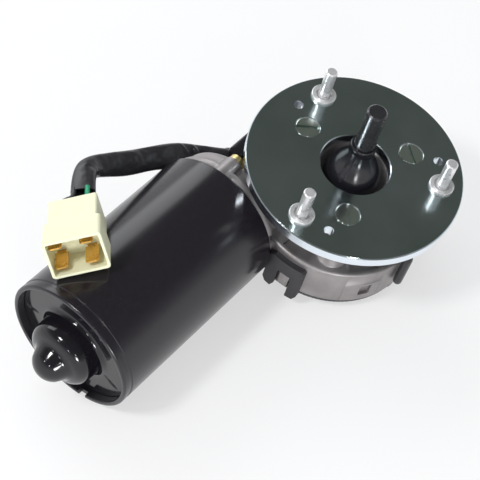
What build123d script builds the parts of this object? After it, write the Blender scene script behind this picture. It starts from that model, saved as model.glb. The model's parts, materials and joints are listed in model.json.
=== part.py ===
from build123d import *
import os
from math import acos, atan, cos, degrees, pi, radians, sin, sqrt, tan

os.makedirs("parts", exist_ok=True)

# A worm-geared wiper motor, in millimetres. The origin is on the output axis, in the top face of the
# mounting plate. +Z points out along the output shaft, and the motor can lies towards -X.

# Worm gear
MODULE = 1.2
WHEEL_TEETH = 60
WORM_PITCH_RADIUS = 5.0
WHEEL_PITCH_RADIUS = MODULE * WHEEL_TEETH / 2
LEAD = pi * MODULE
LEAD_ANGLE = degrees(atan(LEAD / (2 * pi * WORM_PITCH_RADIUS)))
PRESSURE_ANGLE = 20
BACKLASH = 0.25
WHEEL_TIP_RADIUS = 37.2
WHEEL_ROOT_RADIUS = 34.5
WHEEL_WIDTH = 9.0
WORM_TIP_RADIUS = 6.2
WORM_ROOT_RADIUS = 3.5
WORM_TURNS = 8.5

# Motor axis, parallel to X, level with the middle of the worm wheel
MOTOR_Y = WHEEL_PITCH_RADIUS + WORM_PITCH_RADIUS
MOTOR_Z = -42.0

# Mounting plate, its studs and screws
PLATE_RADIUS = 55.0
PLATE_THICKNESS = 6.0
PLATE_BOTTOM = -PLATE_THICKNESS
PLATE_HOLE_RADIUS = 17.7
PEG_HOLE_RADIUS = 2.5
PEG_HOLE_CIRCLE = 43.3
STUD_CIRCLE = 43.5
STUD_RADIUS = 3.0
STUD_SHOULDER_RADIUS = 4.0
STUD_LENGTH = 19.0
COLLAR_RADIUS = 6.3
COLLAR_HEIGHT = 1.6
COLLAR_DISH_RADIUS = 4.2
SCREW_CIRCLE = 30.7
SCREW_HEAD_RADIUS = 6.5
SCREW_SHANK_RADIUS = 3.0
SCREW_HEAD_HEIGHT = SCREW_HEAD_RADIUS - SCREW_SHANK_RADIUS
SCREW_LENGTH = 18.0
SCREW_SLOT = 1.6
SCREW_SLOT_ANGLES = {90: -50, 210: 37, 330: 54}

# Gear housing
DRUM_RADIUS = 44.5
DRUM_TOP = -31.0
DRUM_BOTTOM = -56.0
ROOF_UNDERSIDE = -34.5
CHAMBER_RADIUS = 41.5
CHAMBER_RADIUS_BY_WORM = 38.5
THICK_WALL_START = 24.75
TOWER_RADIUS = 15.0
PILLAR_WIDTH = 16.0
PILLAR_REACH = 33.0
TUNNEL_RADIUS = 12.0
TUNNEL_HALF_LENGTH = 24.0
TUNNEL_END = 30.0
TUNNEL_END_RADIUS = 9.0
FLANGE_X = -48.0
FLANGE_RADIUS = 33.0
SPIGOT_RADIUS = 25.95
COVER_RELIEF_RADIUS = 44.1

# Bushes and bores
BUSH_SEAT_RADIUS = 9.0
END_BUSH_SEAT_RADIUS = 6.0
END_BUSH_START = 18.2
END_BUSH_END = 25.0
OUTPUT_SHAFT_RADIUS = 6.0
OUTPUT_NECK_RADIUS = 5.2
OUTPUT_PIN_RADIUS = 5.0
OUTPUT_PIN_START = 18.2
OUTPUT_PIN_TOP = 42.0
FRONT_JOURNAL_RADIUS = 6.5
END_JOURNAL_RADIUS = 3.3
REAR_JOURNAL_RADIUS = 4.0
RUNNING_GAP = 0.04

# Motor can and what it holds
CAN_RADIUS = 35.5
CAN_WALL = 2.5
CAN_BORE = CAN_RADIUS - CAN_WALL
CAN_NEAR = -155.0
END_PLATE_X = -150.5
BEARING_X = -157.0
BEARING_SPHERE = 8.5
ARMATURE_RADIUS = 21.5
ARMATURE_START = -140.0
ARMATURE_END = -96.0
ARMATURE_SLOTS = 12
COMMUTATOR_RADIUS = 12.0
BRUSH_X = -71.5
BRUSH_ANGLES = (0, 180, 242)
CAN_SCREW_CIRCLE = 29.8
CAN_SCREW_ANGLES = (8, 188)
CAN_SCREW_RADIUS = 2.5
CAN_SCREW_SEAT_X = -37.0

# Bottom cover and park switch
COVER_RADIUS = 43.6
COVER_RING_TOP = -57.2
COVER_RING_BOTTOM = -59.6
COVER_FLOOR = -62.5
CLIP_INNER_RADIUS = 44.7
CLIP_OUTER_RADIUS = 47.6
CLIP_TOP = -36.0
CLIP_FOOT = -61.0
CLIP_WINDOW_TOP = -49.0
CLIP_ANGLES = (184.3, 4.3)
TONGUE_ANGLE = -93.0
LUG_TOP = -50.0
PARK_DISC_UNDERSIDE = -45.1

# Harness and connector
SLEEVE_RADIUS = 5.5
SLEEVE_ROUTE = [
    (-17.0, 66.0, -46.0),
    (-30.0, 76.0, -43.0),
    (-45.0, 84.0, -38.0),
    (-62.0, 87.5, -29.0),
    (-74.0, 89.5, -22.0),
    (-84.0, 93.5, -17.5),
    (-93.5, 93.0, -15.0),
    (-100.5, 86.5, -14.0),
]
WIRE_RADIUS = 1.2
CONNECTOR_REAR = (-115.5, 76.6, -9.2)
CONNECTOR_ACROSS = (0.712, -0.616, 0.335)
CONNECTOR_UP = (0.030, 0.504, 0.863)
CONNECTOR_WIDTH = 27.0
CONNECTOR_HEIGHT = 20.0
CONNECTOR_LENGTH = 34.0
CONNECTOR_BODY_WIDTH = 23.5
CONNECTOR_BODY_LENGTH = 18.5
CONNECTOR_WALL = 1.3
MOUTH_DEPTH = 15.0
REAR_POCKET_WIDTH = 7.0
REAR_POCKET_HEIGHT = 4.6
REAR_POCKET_DEPTH = 3.0
TERMINAL_PLACES = [(-8.5, -5.4), (5.9, -5.4), (-8.5, 5.4), (5.9, 5.4)]
BLADE_WIDTH = 6.3
BLADE_THICKNESS = 0.8
BLADE_TIP = 33.0
BLADE_NECK = 4.2
BLADE_ROOT = -15.0
BLADE_SHOULDER = -21.0

# Axes and section planes. In MOTOR_SECTION and OUTPUT_SECTION the first number runs along X, and
# the second one is the distance from the motor axis, or the height.
MOTOR_AXIS = Axis((0, MOTOR_Y, MOTOR_Z), (1, 0, 0))
MOTOR_SECTION = Plane(origin=(0, MOTOR_Y, MOTOR_Z), x_dir=(1, 0, 0), z_dir=(0, -1, 0))
OUTPUT_SECTION = Plane.XZ
CONNECTOR = Plane(origin=CONNECTOR_REAR, x_dir=CONNECTOR_ACROSS, z_dir=CONNECTOR_UP)
CONNECTOR_FRONT = Plane(
    origin=CONNECTOR_REAR,
    x_dir=CONNECTOR.x_dir,
    z_dir=-CONNECTOR.y_dir,
)


def across_motor(x):
    """Plane square to the motor axis, with local axes +Y and +Z."""
    return Plane(origin=(x, MOTOR_Y, MOTOR_Z), x_dir=(0, 1, 0), z_dir=(1, 0, 0))


def motor_radial(x, angle):
    """Plane through the motor axis that faces outwards, with angle turned from +Z towards +Y."""
    outwards = (0, sin(radians(angle)), cos(radians(angle)))
    return Plane(origin=(x, MOTOR_Y, MOTOR_Z), x_dir=(1, 0, 0), z_dir=outwards)


def on_motor_circle(x, radius, angle):
    """Point at a radius and angle about the motor axis."""
    turned = radians(angle)
    return (x, MOTOR_Y + radius * sin(turned), MOTOR_Z + radius * cos(turned))


def drum_side(angle):
    """Plane that faces outwards from the output axis, with local Y up."""
    turned = radians(angle)
    return Plane(origin=(0, 0, 0), x_dir=(-sin(turned), cos(turned), 0), z_dir=(cos(turned), sin(turned), 0))


def outline(*corners):
    """Closed outline through (across, up, corner radius) triples."""
    points = [(across, up) for across, up, _ in corners]
    FilletPolyline(*points, radius=[radius for _, _, radius in corners], close=True)


def arc_strip(inner, outer, start, end):
    """Closed outline between two radii and two angles."""
    outside = CenterArc((0, 0), outer, start, end - start)
    inside = CenterArc((0, 0), inner, start, end - start)
    Line(outside @ 0, inside @ 0)
    Line(outside @ 1, inside @ 1)


# --- Mounting plate ---------------------------------------------------------------------------------

with BuildPart() as mounting_plate:
    with BuildSketch(Plane.XY.offset(PLATE_BOTTOM)):
        Circle(PLATE_RADIUS)
        Circle(PLATE_HOLE_RADIUS, mode=Mode.SUBTRACT)
        with PolarLocations(STUD_CIRCLE, 3, start_angle=60):
            Circle(STUD_SHOULDER_RADIUS, mode=Mode.SUBTRACT)
        with PolarLocations(PEG_HOLE_CIRCLE, 3, start_angle=80):
            Circle(PEG_HOLE_RADIUS, mode=Mode.SUBTRACT)
    extrude(amount=PLATE_THICKNESS)
    rims = mounting_plate.edges().filter_by(GeomType.CIRCLE).filter_by(lambda edge: edge.radius > 17)
    chamfer(rims, length=0.5)
    with PolarLocations(SCREW_CIRCLE, 3, start_angle=90):
        CounterSinkHole(
            radius=SCREW_SHANK_RADIUS + 0.1,
            counter_sink_radius=SCREW_HEAD_RADIUS,
            depth=PLATE_THICKNESS,
            counter_sink_angle=90,
        )
mounting_plate.part.label = "mounting_plate"
export_step(mounting_plate.part, "parts/mounting_plate.step")

with BuildPart() as mounting_studs:
    with BuildSketch(Plane.XY.offset(PLATE_BOTTOM)):
        with PolarLocations(STUD_CIRCLE, 3, start_angle=60):
            Circle(STUD_SHOULDER_RADIUS)
    extrude(amount=PLATE_THICKNESS)
    with BuildSketch(Plane.XY):
        with PolarLocations(STUD_CIRCLE, 3, start_angle=60):
            Circle(COLLAR_RADIUS)
    extrude(amount=COLLAR_HEIGHT)
    chamfer(mounting_studs.faces().group_by(Axis.Z)[-1].edges(), length=0.35)
    with BuildSketch(Plane.XY.offset(0.1)):
        with PolarLocations(STUD_CIRCLE, 3, start_angle=60):
            Circle(COLLAR_DISH_RADIUS)
    extrude(amount=COLLAR_HEIGHT, mode=Mode.SUBTRACT)
    with BuildSketch(Plane.XY):
        with PolarLocations(STUD_CIRCLE, 3, start_angle=60):
            Circle(STUD_RADIUS)
    extrude(amount=STUD_LENGTH)
    chamfer(mounting_studs.faces().group_by(Axis.Z)[-1].edges(), length=0.6)
mounting_studs.part.label = "mounting_studs"
export_step(mounting_studs.part, "parts/mounting_studs.step")

with BuildPart() as plate_screws:
    with BuildSketch(OUTPUT_SECTION):
        with BuildLine():
            outline(
                (SCREW_CIRCLE, 0, 0),
                (SCREW_CIRCLE + SCREW_HEAD_RADIUS, 0, 0),
                (SCREW_CIRCLE + SCREW_SHANK_RADIUS, -SCREW_HEAD_HEIGHT, 0),
                (SCREW_CIRCLE + SCREW_SHANK_RADIUS, -SCREW_LENGTH, 0),
                (SCREW_CIRCLE, -SCREW_LENGTH, 0),
            )
        make_face()
    revolve(axis=Axis((SCREW_CIRCLE, 0, 0), (0, 0, 1)))
    shaped = plate_screws.part
    with PolarLocations(0, 3, start_angle=90):
        add(shaped, mode=Mode.ADD)
    add(shaped, mode=Mode.SUBTRACT)
    for angle, slot_angle in SCREW_SLOT_ANGLES.items():
        turned = radians(angle)
        place = (SCREW_CIRCLE * cos(turned), SCREW_CIRCLE * sin(turned), -SCREW_SLOT)
        with BuildSketch(Plane(origin=place, x_dir=(cos(radians(slot_angle)), sin(radians(slot_angle)), 0))):
            Rectangle(2 * SCREW_HEAD_RADIUS + 1, SCREW_SLOT)
        extrude(amount=SCREW_SLOT, mode=Mode.SUBTRACT)
plate_screws.part.label = "plate_screws"
export_step(plate_screws.part, "parts/plate_screws.step")

# --- Gear housing -----------------------------------------------------------------------------------

with BuildPart() as gear_housing:
    # drum
    with BuildSketch(Plane.XY.offset(DRUM_BOTTOM)):
        Circle(DRUM_RADIUS)
    extrude(amount=DRUM_TOP - DRUM_BOTTOM)
    fillet(gear_housing.edges().filter_by(GeomType.CIRCLE).sort_by(Axis.Z)[-1], radius=3)
    # shaft tower with its seat under the mounting plate
    with BuildSketch(OUTPUT_SECTION):
        with BuildLine():
            outline(
                (0, ROOF_UNDERSIDE, 0),
                (TOWER_RADIUS + 4, ROOF_UNDERSIDE, 0),
                (TOWER_RADIUS + 4, DRUM_TOP, 0),
                (TOWER_RADIUS, DRUM_TOP, 3.5),
                (TOWER_RADIUS - 1, PLATE_BOTTOM - 7, 3),
                (20, PLATE_BOTTOM - 3, 0),
                (20, PLATE_BOTTOM, 0),
                (0, PLATE_BOTTOM, 0),
            )
        make_face()
    revolve(axis=Axis.Z)
    # pillars that carry the mounting plate
    with BuildSketch(Plane.XY.offset(DRUM_TOP - 1)):
        with PolarLocations(0, 3, start_angle=90):
            SlotCenterPoint(center=(PILLAR_REACH / 2, 0), point=(PILLAR_REACH, 0), height=PILLAR_WIDTH)
    extrude(amount=PLATE_BOTTOM - DRUM_TOP + 1)
    # worm tunnel and its narrower end
    with BuildSketch(across_motor(-TUNNEL_HALF_LENGTH)):
        Circle(TUNNEL_RADIUS)
    extrude(amount=2 * TUNNEL_HALF_LENGTH)
    with BuildSketch(across_motor(TUNNEL_HALF_LENGTH)):
        Circle(TUNNEL_END_RADIUS)
    extrude(amount=TUNNEL_END - TUNNEL_HALF_LENGTH)
    # bell that opens out towards the motor can, with the spigot that centres the can
    with BuildSketch(MOTOR_SECTION):
        with BuildLine():
            outline(
                (FLANGE_X - 2.6, 0, 0),
                (FLANGE_X - 2.6, SPIGOT_RADIUS, 0),
                (FLANGE_X, SPIGOT_RADIUS, 0),
                (FLANGE_X, FLANGE_RADIUS, 0),
                (-43, FLANGE_RADIUS, 0.8),
                (-42.6, 31.5, 0.4),
                (-34, 30.5, 7),
                (-27, 14.5, 5),
                (-22, TUNNEL_RADIUS, 0),
                (-22, 0, 0),
            )
        make_face()
    revolve(axis=MOTOR_AXIS)
    # bosses for the can screws
    for angle in CAN_SCREW_ANGLES:
        with BuildSketch(
            Plane(
                origin=on_motor_circle(FLANGE_X, CAN_SCREW_CIRCLE, angle), x_dir=(0, 1, 0), z_dir=(1, 0, 0)
            )
        ):
            Circle(5)
        extrude(amount=CAN_SCREW_SEAT_X - FLANGE_X)
    # gear chamber, open at the bottom, with a thicker wall by the worm
    with BuildSketch(Plane.XY.offset(DRUM_BOTTOM)):
        Circle(CHAMBER_RADIUS)
        with Locations((0, THICK_WALL_START + 30)):
            Rectangle(120, 60, mode=Mode.SUBTRACT)
        Circle(CHAMBER_RADIUS_BY_WORM)
    extrude(amount=ROOF_UNDERSIDE - DRUM_BOTTOM, mode=Mode.SUBTRACT)
    # cavity of the bell, seats of the bushes, worm bore and tapped end
    with BuildSketch(MOTOR_SECTION):
        with BuildLine():
            outline(
                (FLANGE_X - 3, 0, 0),
                (FLANGE_X - 3, 24, 0),
                (FLANGE_X, 24, 0),
                (-34, 10, 0),
                (-34, BUSH_SEAT_RADIUS, 0),
                (-22, BUSH_SEAT_RADIUS, 0),
                (-22, WORM_TIP_RADIUS + 1, 0),
                (17, WORM_TIP_RADIUS + 1, 0),
                (17, END_BUSH_SEAT_RADIUS, 0),
                (END_BUSH_END, END_BUSH_SEAT_RADIUS, 0),
                (END_BUSH_END, 4, 0),
                (TUNNEL_END + 1, 4, 0),
                (TUNNEL_END + 1, 0, 0),
            )
        make_face()
    revolve(axis=MOTOR_AXIS, mode=Mode.SUBTRACT)
    # bore of the tower
    with BuildSketch(Plane.XY.offset(ROOF_UNDERSIDE - 1)):
        Circle(BUSH_SEAT_RADIUS)
    extrude(amount=PLATE_BOTTOM - ROOF_UNDERSIDE + 2, mode=Mode.SUBTRACT)
    # tapped holes for the plate screws
    with BuildSketch(Plane.XY.offset(-20)):
        with PolarLocations(SCREW_CIRCLE, 3, start_angle=90):
            Circle(SCREW_SHANK_RADIUS)
    extrude(amount=14, mode=Mode.SUBTRACT)
    # holes and spot faces for the can screws
    for angle in CAN_SCREW_ANGLES:
        for start, radius in ((FLANGE_X, CAN_SCREW_RADIUS + 0.2), (CAN_SCREW_SEAT_X, 5.4)):
            centre = on_motor_circle(start, CAN_SCREW_CIRCLE, angle)
            with BuildSketch(Plane(origin=centre, x_dir=(0, 1, 0), z_dir=(1, 0, 0))):
                Circle(radius)
            extrude(amount=18, mode=Mode.SUBTRACT)
    # relief under the bell, so that the bottom cover goes on
    with BuildSketch(Plane.XY.offset(DRUM_BOTTOM - 8)):
        Circle(COVER_RELIEF_RADIUS)
    extrude(amount=8, mode=Mode.SUBTRACT)
    # lugs that the cover's loops catch, and the slot in the drum's edge
    for clip_angle in CLIP_ANGLES:
        with BuildSketch(Plane.XY.offset(DRUM_BOTTOM)):
            with BuildLine():
                arc_strip(DRUM_RADIUS - 1, DRUM_RADIUS + 1.8, clip_angle - 4.3, clip_angle + 4.3)
            make_face()
        extrude(amount=LUG_TOP - DRUM_BOTTOM)
    with BuildSketch(drum_side(-126).offset(DRUM_RADIUS - 1.6)):
        with Locations((0, (DRUM_BOTTOM - 48.5) / 2)):
            Rectangle(7, -48.5 - DRUM_BOTTOM)
    extrude(amount=3, mode=Mode.SUBTRACT)
gear_housing.part.label = "gear_housing"
export_step(gear_housing.part, "parts/gear_housing.step")

# --- Bottom cover and park switch -------------------------------------------------------------------

with BuildPart() as snap_clips:
    for clip_angle in CLIP_ANGLES:
        with BuildSketch(drum_side(clip_angle).offset(40)):
            with BuildLine():
                outline(
                    (-9.8, CLIP_TOP - 2.5, 0),
                    (-7.3, CLIP_TOP, 0),
                    (8.6, CLIP_TOP, 0),
                    (9.8, CLIP_TOP - 1.6, 0),
                    (9.8, CLIP_FOOT + 3, 0),
                    (7.6, CLIP_FOOT, 0.5),
                    (3.8, CLIP_FOOT, 0.5),
                    (3.8, CLIP_WINDOW_TOP, 0.6),
                    (-3.8, CLIP_WINDOW_TOP, 0.6),
                    (-3.8, CLIP_FOOT, 0.5),
                    (-7.6, CLIP_FOOT, 0.5),
                    (-9.8, CLIP_FOOT + 3, 0),
                )
            make_face()
        extrude(amount=10)
    with BuildSketch(drum_side(TONGUE_ANGLE).offset(40)):
        with BuildLine():
            outline(
                (-3.2, -33, 1),
                (3.2, -33, 1),
                (3.2, -58.4, 3.1),
                (-3.2, -58.4, 3.1),
            )
        make_face()
    extrude(amount=10)
    with BuildSketch(OUTPUT_SECTION):
        with BuildLine():
            outline(
                (CLIP_INNER_RADIUS, -30, 0),
                (CLIP_OUTER_RADIUS, -30, 0),
                (CLIP_OUTER_RADIUS, -63, 0),
                (COVER_RADIUS - 1, -63, 0),
                (COVER_RADIUS - 1, COVER_RING_TOP, 0),
                (CLIP_INNER_RADIUS, COVER_RING_TOP, 0),
            )
        make_face()
    revolve(axis=Axis.Z, mode=Mode.INTERSECT)

with BuildPart() as gear_cover:
    with BuildSketch(OUTPUT_SECTION):
        with BuildLine():
            outline(
                (0, COVER_FLOOR, 0),
                (37.5, COVER_FLOOR, 1.5),
                (40, COVER_RING_BOTTOM, 1),
                (COVER_RADIUS, COVER_RING_BOTTOM, 0.6),
                (COVER_RADIUS, COVER_RING_TOP, 0),
                (37, COVER_RING_TOP, 0),
                (37, -58.8, 0),
                (34, -58.8, 0),
                (34, -60.5, 0),
                (0, -60.5, 0),
            )
        make_face()
    revolve(axis=Axis.Z)
    # wing beside the worm tunnel, which carries the cable outlet
    with BuildSketch(Plane.XY.offset(COVER_RING_BOTTOM)):
        with BuildLine():
            outline((-15, 40.5, 0), (7, 40.5, 0), (7, 74, 4), (-15, 74, 4))
        make_face()
    extrude(amount=COVER_RING_TOP - COVER_RING_BOTTOM)
    # tongue foot
    with BuildSketch(Plane.XY.offset(COVER_RING_BOTTOM)):
        with BuildLine():
            arc_strip(COVER_RADIUS - 1, CLIP_INNER_RADIUS + 1, TONGUE_ANGLE - 2.5, TONGUE_ANGLE + 2.5)
        make_face()
    extrude(amount=COVER_RING_TOP - COVER_RING_BOTTOM)
    add(snap_clips.part)
    # ribs across the underside
    with BuildSketch(Plane.XY.offset(COVER_FLOOR)):
        Circle(31)
        Circle(12, mode=Mode.SUBTRACT)
        with PolarLocations(0, 3):
            Rectangle(64, 2, mode=Mode.SUBTRACT)
    extrude(amount=0.8, mode=Mode.SUBTRACT)
gear_cover.part.label = "gear_cover"
export_step(gear_cover.part, "parts/gear_cover.step")

with BuildPart() as cover_gasket:
    with BuildSketch(Plane.XY.offset(COVER_RING_TOP)):
        Circle(COVER_RADIUS)
        Circle(CHAMBER_RADIUS, mode=Mode.SUBTRACT)
    extrude(amount=DRUM_BOTTOM - COVER_RING_TOP)
cover_gasket.part.label = "cover_gasket"
export_step(cover_gasket.part, "parts/cover_gasket.step")

with BuildPart() as park_contact_plate:
    with BuildSketch(Plane.XY.offset(-58.8)):
        Circle(36.9)
        with Locations((0, 20)):
            SlotOverall(18, 6, mode=Mode.SUBTRACT)
    extrude(amount=1.6)
park_contact_plate.part.label = "park_contact_plate"
export_step(park_contact_plate.part, "parts/park_contact_plate.step")

with BuildPart() as park_contacts:
    for track_y in (-13.5, -19.5, -25.5):
        with BuildSketch(Plane.XZ.offset(-track_y - 1.5)):
            with BuildLine():
                FilletPolyline(
                    (-16, COVER_RING_TOP + 0.25),
                    (-7, COVER_RING_TOP + 0.25),
                    (4, PARK_DISC_UNDERSIDE - 1.6),
                    (8, PARK_DISC_UNDERSIDE - 0.32),
                    (11, PARK_DISC_UNDERSIDE - 1.8),
                    radius=[1.2, 1.2, 1.0],
                )
            trace(line_width=0.5)
        extrude(amount=3)
park_contacts.part.label = "park_contacts"
export_step(park_contacts.part, "parts/park_contacts.step")

# --- Output shaft, worm wheel and what runs on them -------------------------------------------------

base_radius = WHEEL_PITCH_RADIUS * cos(radians(PRESSURE_ANGLE))
pitch_half_tooth = (LEAD / 2 - BACKLASH) / 2 / WHEEL_PITCH_RADIUS


def involute(angle):
    """Involute function of an angle in radians."""
    return tan(angle) - angle


def half_tooth(radius):
    """Half of a wheel tooth's angle at a radius, in degrees."""
    here = involute(acos(base_radius / radius))
    return degrees(pitch_half_tooth + involute(radians(PRESSURE_ANGLE)) - here)


def wheel_outline(twist):
    """Corners of the toothed outline. At no twist a gap is centred on +Y."""
    corners = []
    for tooth in range(WHEEL_TEETH):
        middle = 90 + twist + (tooth + 0.5) * 360 / WHEEL_TEETH
        root, tip = half_tooth(WHEEL_ROOT_RADIUS), half_tooth(WHEEL_TIP_RADIUS)
        for radius, angle in (
            (WHEEL_ROOT_RADIUS, middle - root),
            (WHEEL_TIP_RADIUS, middle - tip),
            (WHEEL_TIP_RADIUS, middle + tip),
            (WHEEL_ROOT_RADIUS, middle + root),
        ):
            corners.append((radius * cos(radians(angle)), radius * sin(radians(angle))))
    return corners


half_twist = degrees(WHEEL_WIDTH / 2 * tan(radians(LEAD_ANGLE)) / WHEEL_PITCH_RADIUS)
WHEEL_BOTTOM = MOTOR_Z - WHEEL_WIDTH / 2
WHEEL_TOP = MOTOR_Z + WHEEL_WIDTH / 2
HUB_RADIUS = 11.0
HUB_TOP = -35.6
WEB_BOTTOM = -44.5
WEB_TOP = -39.5
RIM_INNER_RADIUS = 32.3

with BuildPart() as worm_wheel:
    with BuildSketch(Plane.XY.offset(WHEEL_BOTTOM)):
        with BuildLine():
            Polyline(*wheel_outline(-half_twist), close=True)
        make_face()
    with BuildSketch(Plane.XY.offset(WHEEL_TOP)):
        with BuildLine():
            Polyline(*wheel_outline(half_twist), close=True)
        make_face()
    loft(ruled=True)
    with BuildSketch(Plane.XY.offset(WHEEL_BOTTOM)):
        Circle(RIM_INNER_RADIUS)
    extrude(amount=WEB_BOTTOM - WHEEL_BOTTOM, mode=Mode.SUBTRACT)
    with BuildSketch(Plane.XY.offset(WEB_TOP)):
        Circle(RIM_INNER_RADIUS)
        with PolarLocations(0, 3):
            Rectangle(2 * RIM_INNER_RADIUS + 2, 2.4, mode=Mode.SUBTRACT)
    extrude(amount=WHEEL_TOP - WEB_TOP, mode=Mode.SUBTRACT)
    with BuildSketch(Plane.XY.offset(-47)):
        Circle(HUB_RADIUS)
    extrude(amount=HUB_TOP + 47)
    with BuildSketch(Plane.XY.offset(-48)):
        Circle(OUTPUT_SHAFT_RADIUS)
    extrude(amount=14, mode=Mode.SUBTRACT)
worm_wheel.part.label = "worm_wheel"
export_step(worm_wheel.part, "parts/worm_wheel.step")

with BuildPart() as park_disc:
    with BuildSketch(Plane.XY.offset(PARK_DISC_UNDERSIDE)):
        Circle(32)
        Circle(12, mode=Mode.SUBTRACT)
        with BuildLine():
            arc_strip(20, 26, 60, 105)
        make_face(mode=Mode.SUBTRACT)
    extrude(amount=WEB_BOTTOM - PARK_DISC_UNDERSIDE)
park_disc.part.label = "park_disc"
export_step(park_disc.part, "parts/park_disc.step")

with BuildPart() as output_shaft:
    with BuildSketch(OUTPUT_SECTION):
        with BuildLine():
            outline(
                (0, -49, 0),
                (OUTPUT_SHAFT_RADIUS - 0.6, -49, 0),
                (OUTPUT_SHAFT_RADIUS, -48.4, 0),
                (OUTPUT_SHAFT_RADIUS, -5.7, 0),
                (5.3, -5.7, 0),
                (5.3, -4.7, 0),
                (OUTPUT_SHAFT_RADIUS, -4.7, 0),
                (OUTPUT_SHAFT_RADIUS, -3.4, 0),
                (OUTPUT_NECK_RADIUS, -2.6, 0),
                (OUTPUT_NECK_RADIUS, OUTPUT_PIN_START - 0.2, 0),
                (OUTPUT_PIN_RADIUS, OUTPUT_PIN_START, 0),
                (OUTPUT_PIN_RADIUS, OUTPUT_PIN_TOP - 0.8, 0),
                (OUTPUT_PIN_RADIUS - 0.8, OUTPUT_PIN_TOP, 0),
                (0, OUTPUT_PIN_TOP, 0),
            )
        make_face()
    revolve(axis=Axis.Z)
output_shaft.part.label = "output_shaft"
export_step(output_shaft.part, "parts/output_shaft.step")

with BuildPart() as output_bushes:
    for bottom, top in ((ROOF_UNDERSIDE, -22), (-18, -6.6)):
        with BuildSketch(Plane.XY.offset(bottom)):
            Circle(BUSH_SEAT_RADIUS)
            Circle(OUTPUT_SHAFT_RADIUS + RUNNING_GAP, mode=Mode.SUBTRACT)
        extrude(amount=top - bottom)
output_bushes.part.label = "output_bushes"
export_step(output_bushes.part, "parts/output_bushes.step")

with BuildPart() as thrust_washer:
    with BuildSketch(Plane.XY.offset(HUB_TOP)):
        Circle(HUB_RADIUS)
        Circle(OUTPUT_SHAFT_RADIUS, mode=Mode.SUBTRACT)
    extrude(amount=1.0)
thrust_washer.part.label = "thrust_washer"
export_step(thrust_washer.part, "parts/thrust_washer.step")

with BuildPart() as top_washer:
    with BuildSketch(Plane.XY.offset(-6.5)):
        Circle(8.7)
        Circle(OUTPUT_SHAFT_RADIUS, mode=Mode.SUBTRACT)
    extrude(amount=0.8)
top_washer.part.label = "top_washer"
export_step(top_washer.part, "parts/top_washer.step")

with BuildPart() as retaining_ring:
    with BuildSketch(Plane.XY.offset(-5.7)):
        Circle(7.8)
        Circle(5.3, mode=Mode.SUBTRACT)
        with Locations((7, 0)):
            Rectangle(6, 2.5, mode=Mode.SUBTRACT)
    extrude(amount=1.0)
retaining_ring.part.label = "retaining_ring"
export_step(retaining_ring.part, "parts/retaining_ring.step")

boot_bore = OUTPUT_NECK_RADIUS + RUNNING_GAP

with BuildPart() as shaft_boot:
    with BuildSketch(OUTPUT_SECTION):
        with BuildLine():
            outside = Polyline((16.5, PLATE_BOTTOM), (16.5, -4.5), (14.2, -4.2))
            shoulder = Bezier(outside @ 1, (13.4, 1.5), (8.6, 3.5), (6.4, 12))
            lip = Polyline(shoulder @ 1, (6.1, 17), (boot_bore, 17), (boot_bore, 9))
            inside = Bezier(lip @ 1, (6.6, 3), (11.6, 0), (12.2, -4.2))
            Polyline(inside @ 1, (12.2, PLATE_BOTTOM), (16.5, PLATE_BOTTOM))
        make_face()
    revolve(axis=Axis.Z)
shaft_boot.part.label = "shaft_boot"
export_step(shaft_boot.part, "parts/shaft_boot.step")

# --- Armature ---------------------------------------------------------------------------------------

WORM_START = -WORM_TURNS / 2 * LEAD
thread_slope = tan(radians(PRESSURE_ANGLE))

# the thread is made along +Z from local +X, then laid along the motor axis with its start at the top
with BuildPart() as worm_thread:
    with BuildLine() as thread_path:
        Helix(pitch=LEAD, height=WORM_TURNS * LEAD, radius=WORM_PITCH_RADIUS)
    with BuildSketch(Plane(origin=(WORM_PITCH_RADIUS, 0, 0), x_dir=(1, 0, 0), z_dir=(0, 1, 0))):
        with BuildLine():
            crest = WORM_TIP_RADIUS - WORM_PITCH_RADIUS
            root = WORM_ROOT_RADIUS - WORM_PITCH_RADIUS - 0.2
            outline(
                (root, -LEAD / 4 + root * thread_slope, 0),
                (crest, -LEAD / 4 + crest * thread_slope, 0),
                (crest, LEAD / 4 - crest * thread_slope, 0),
                (root, LEAD / 4 - root * thread_slope, 0),
            )
        make_face()
    sweep(path=thread_path.line, is_frenet=True)

worm_seat = Plane(origin=(WORM_START, MOTOR_Y, MOTOR_Z), x_dir=(0, 0, 1), z_dir=(1, 0, 0))
placed_thread = worm_seat.location * worm_thread.part

with BuildPart() as armature_shaft:
    with BuildSketch(MOTOR_SECTION):
        with BuildLine():
            outline(
                (-168, 0, 0),
                (-168, REAR_JOURNAL_RADIUS - 0.6, 0),
                (-167.4, REAR_JOURNAL_RADIUS, 0),
                (-149, REAR_JOURNAL_RADIUS, 0),
                (-149, 5, 0),
                (-60, 5, 0),
                (-60, FRONT_JOURNAL_RADIUS, 0),
                (-20.5, FRONT_JOURNAL_RADIUS, 0),
                (-17.5, WORM_ROOT_RADIUS, 0),
                (18, WORM_ROOT_RADIUS, 0),
                (18, END_JOURNAL_RADIUS, 0),
                (25.6, END_JOURNAL_RADIUS, 0),
                (25.6, 0, 0),
            )
        make_face()
    revolve(axis=MOTOR_AXIS)
    add(placed_thread)
armature_shaft.part.label = "armature_shaft"
export_step(armature_shaft.part, "parts/armature_shaft.step")

with BuildPart() as armature_core:
    with BuildSketch(across_motor(ARMATURE_START)):
        Circle(ARMATURE_RADIUS)
        Circle(5, mode=Mode.SUBTRACT)
        with PolarLocations(14.2, ARMATURE_SLOTS):
            SlotOverall(8, 4, mode=Mode.SUBTRACT)
        with PolarLocations(20, ARMATURE_SLOTS):
            Rectangle(5, 1.6, mode=Mode.SUBTRACT)
    extrude(amount=ARMATURE_END - ARMATURE_START)
armature_core.part.label = "armature_core"
export_step(armature_core.part, "parts/armature_core.step")

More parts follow.
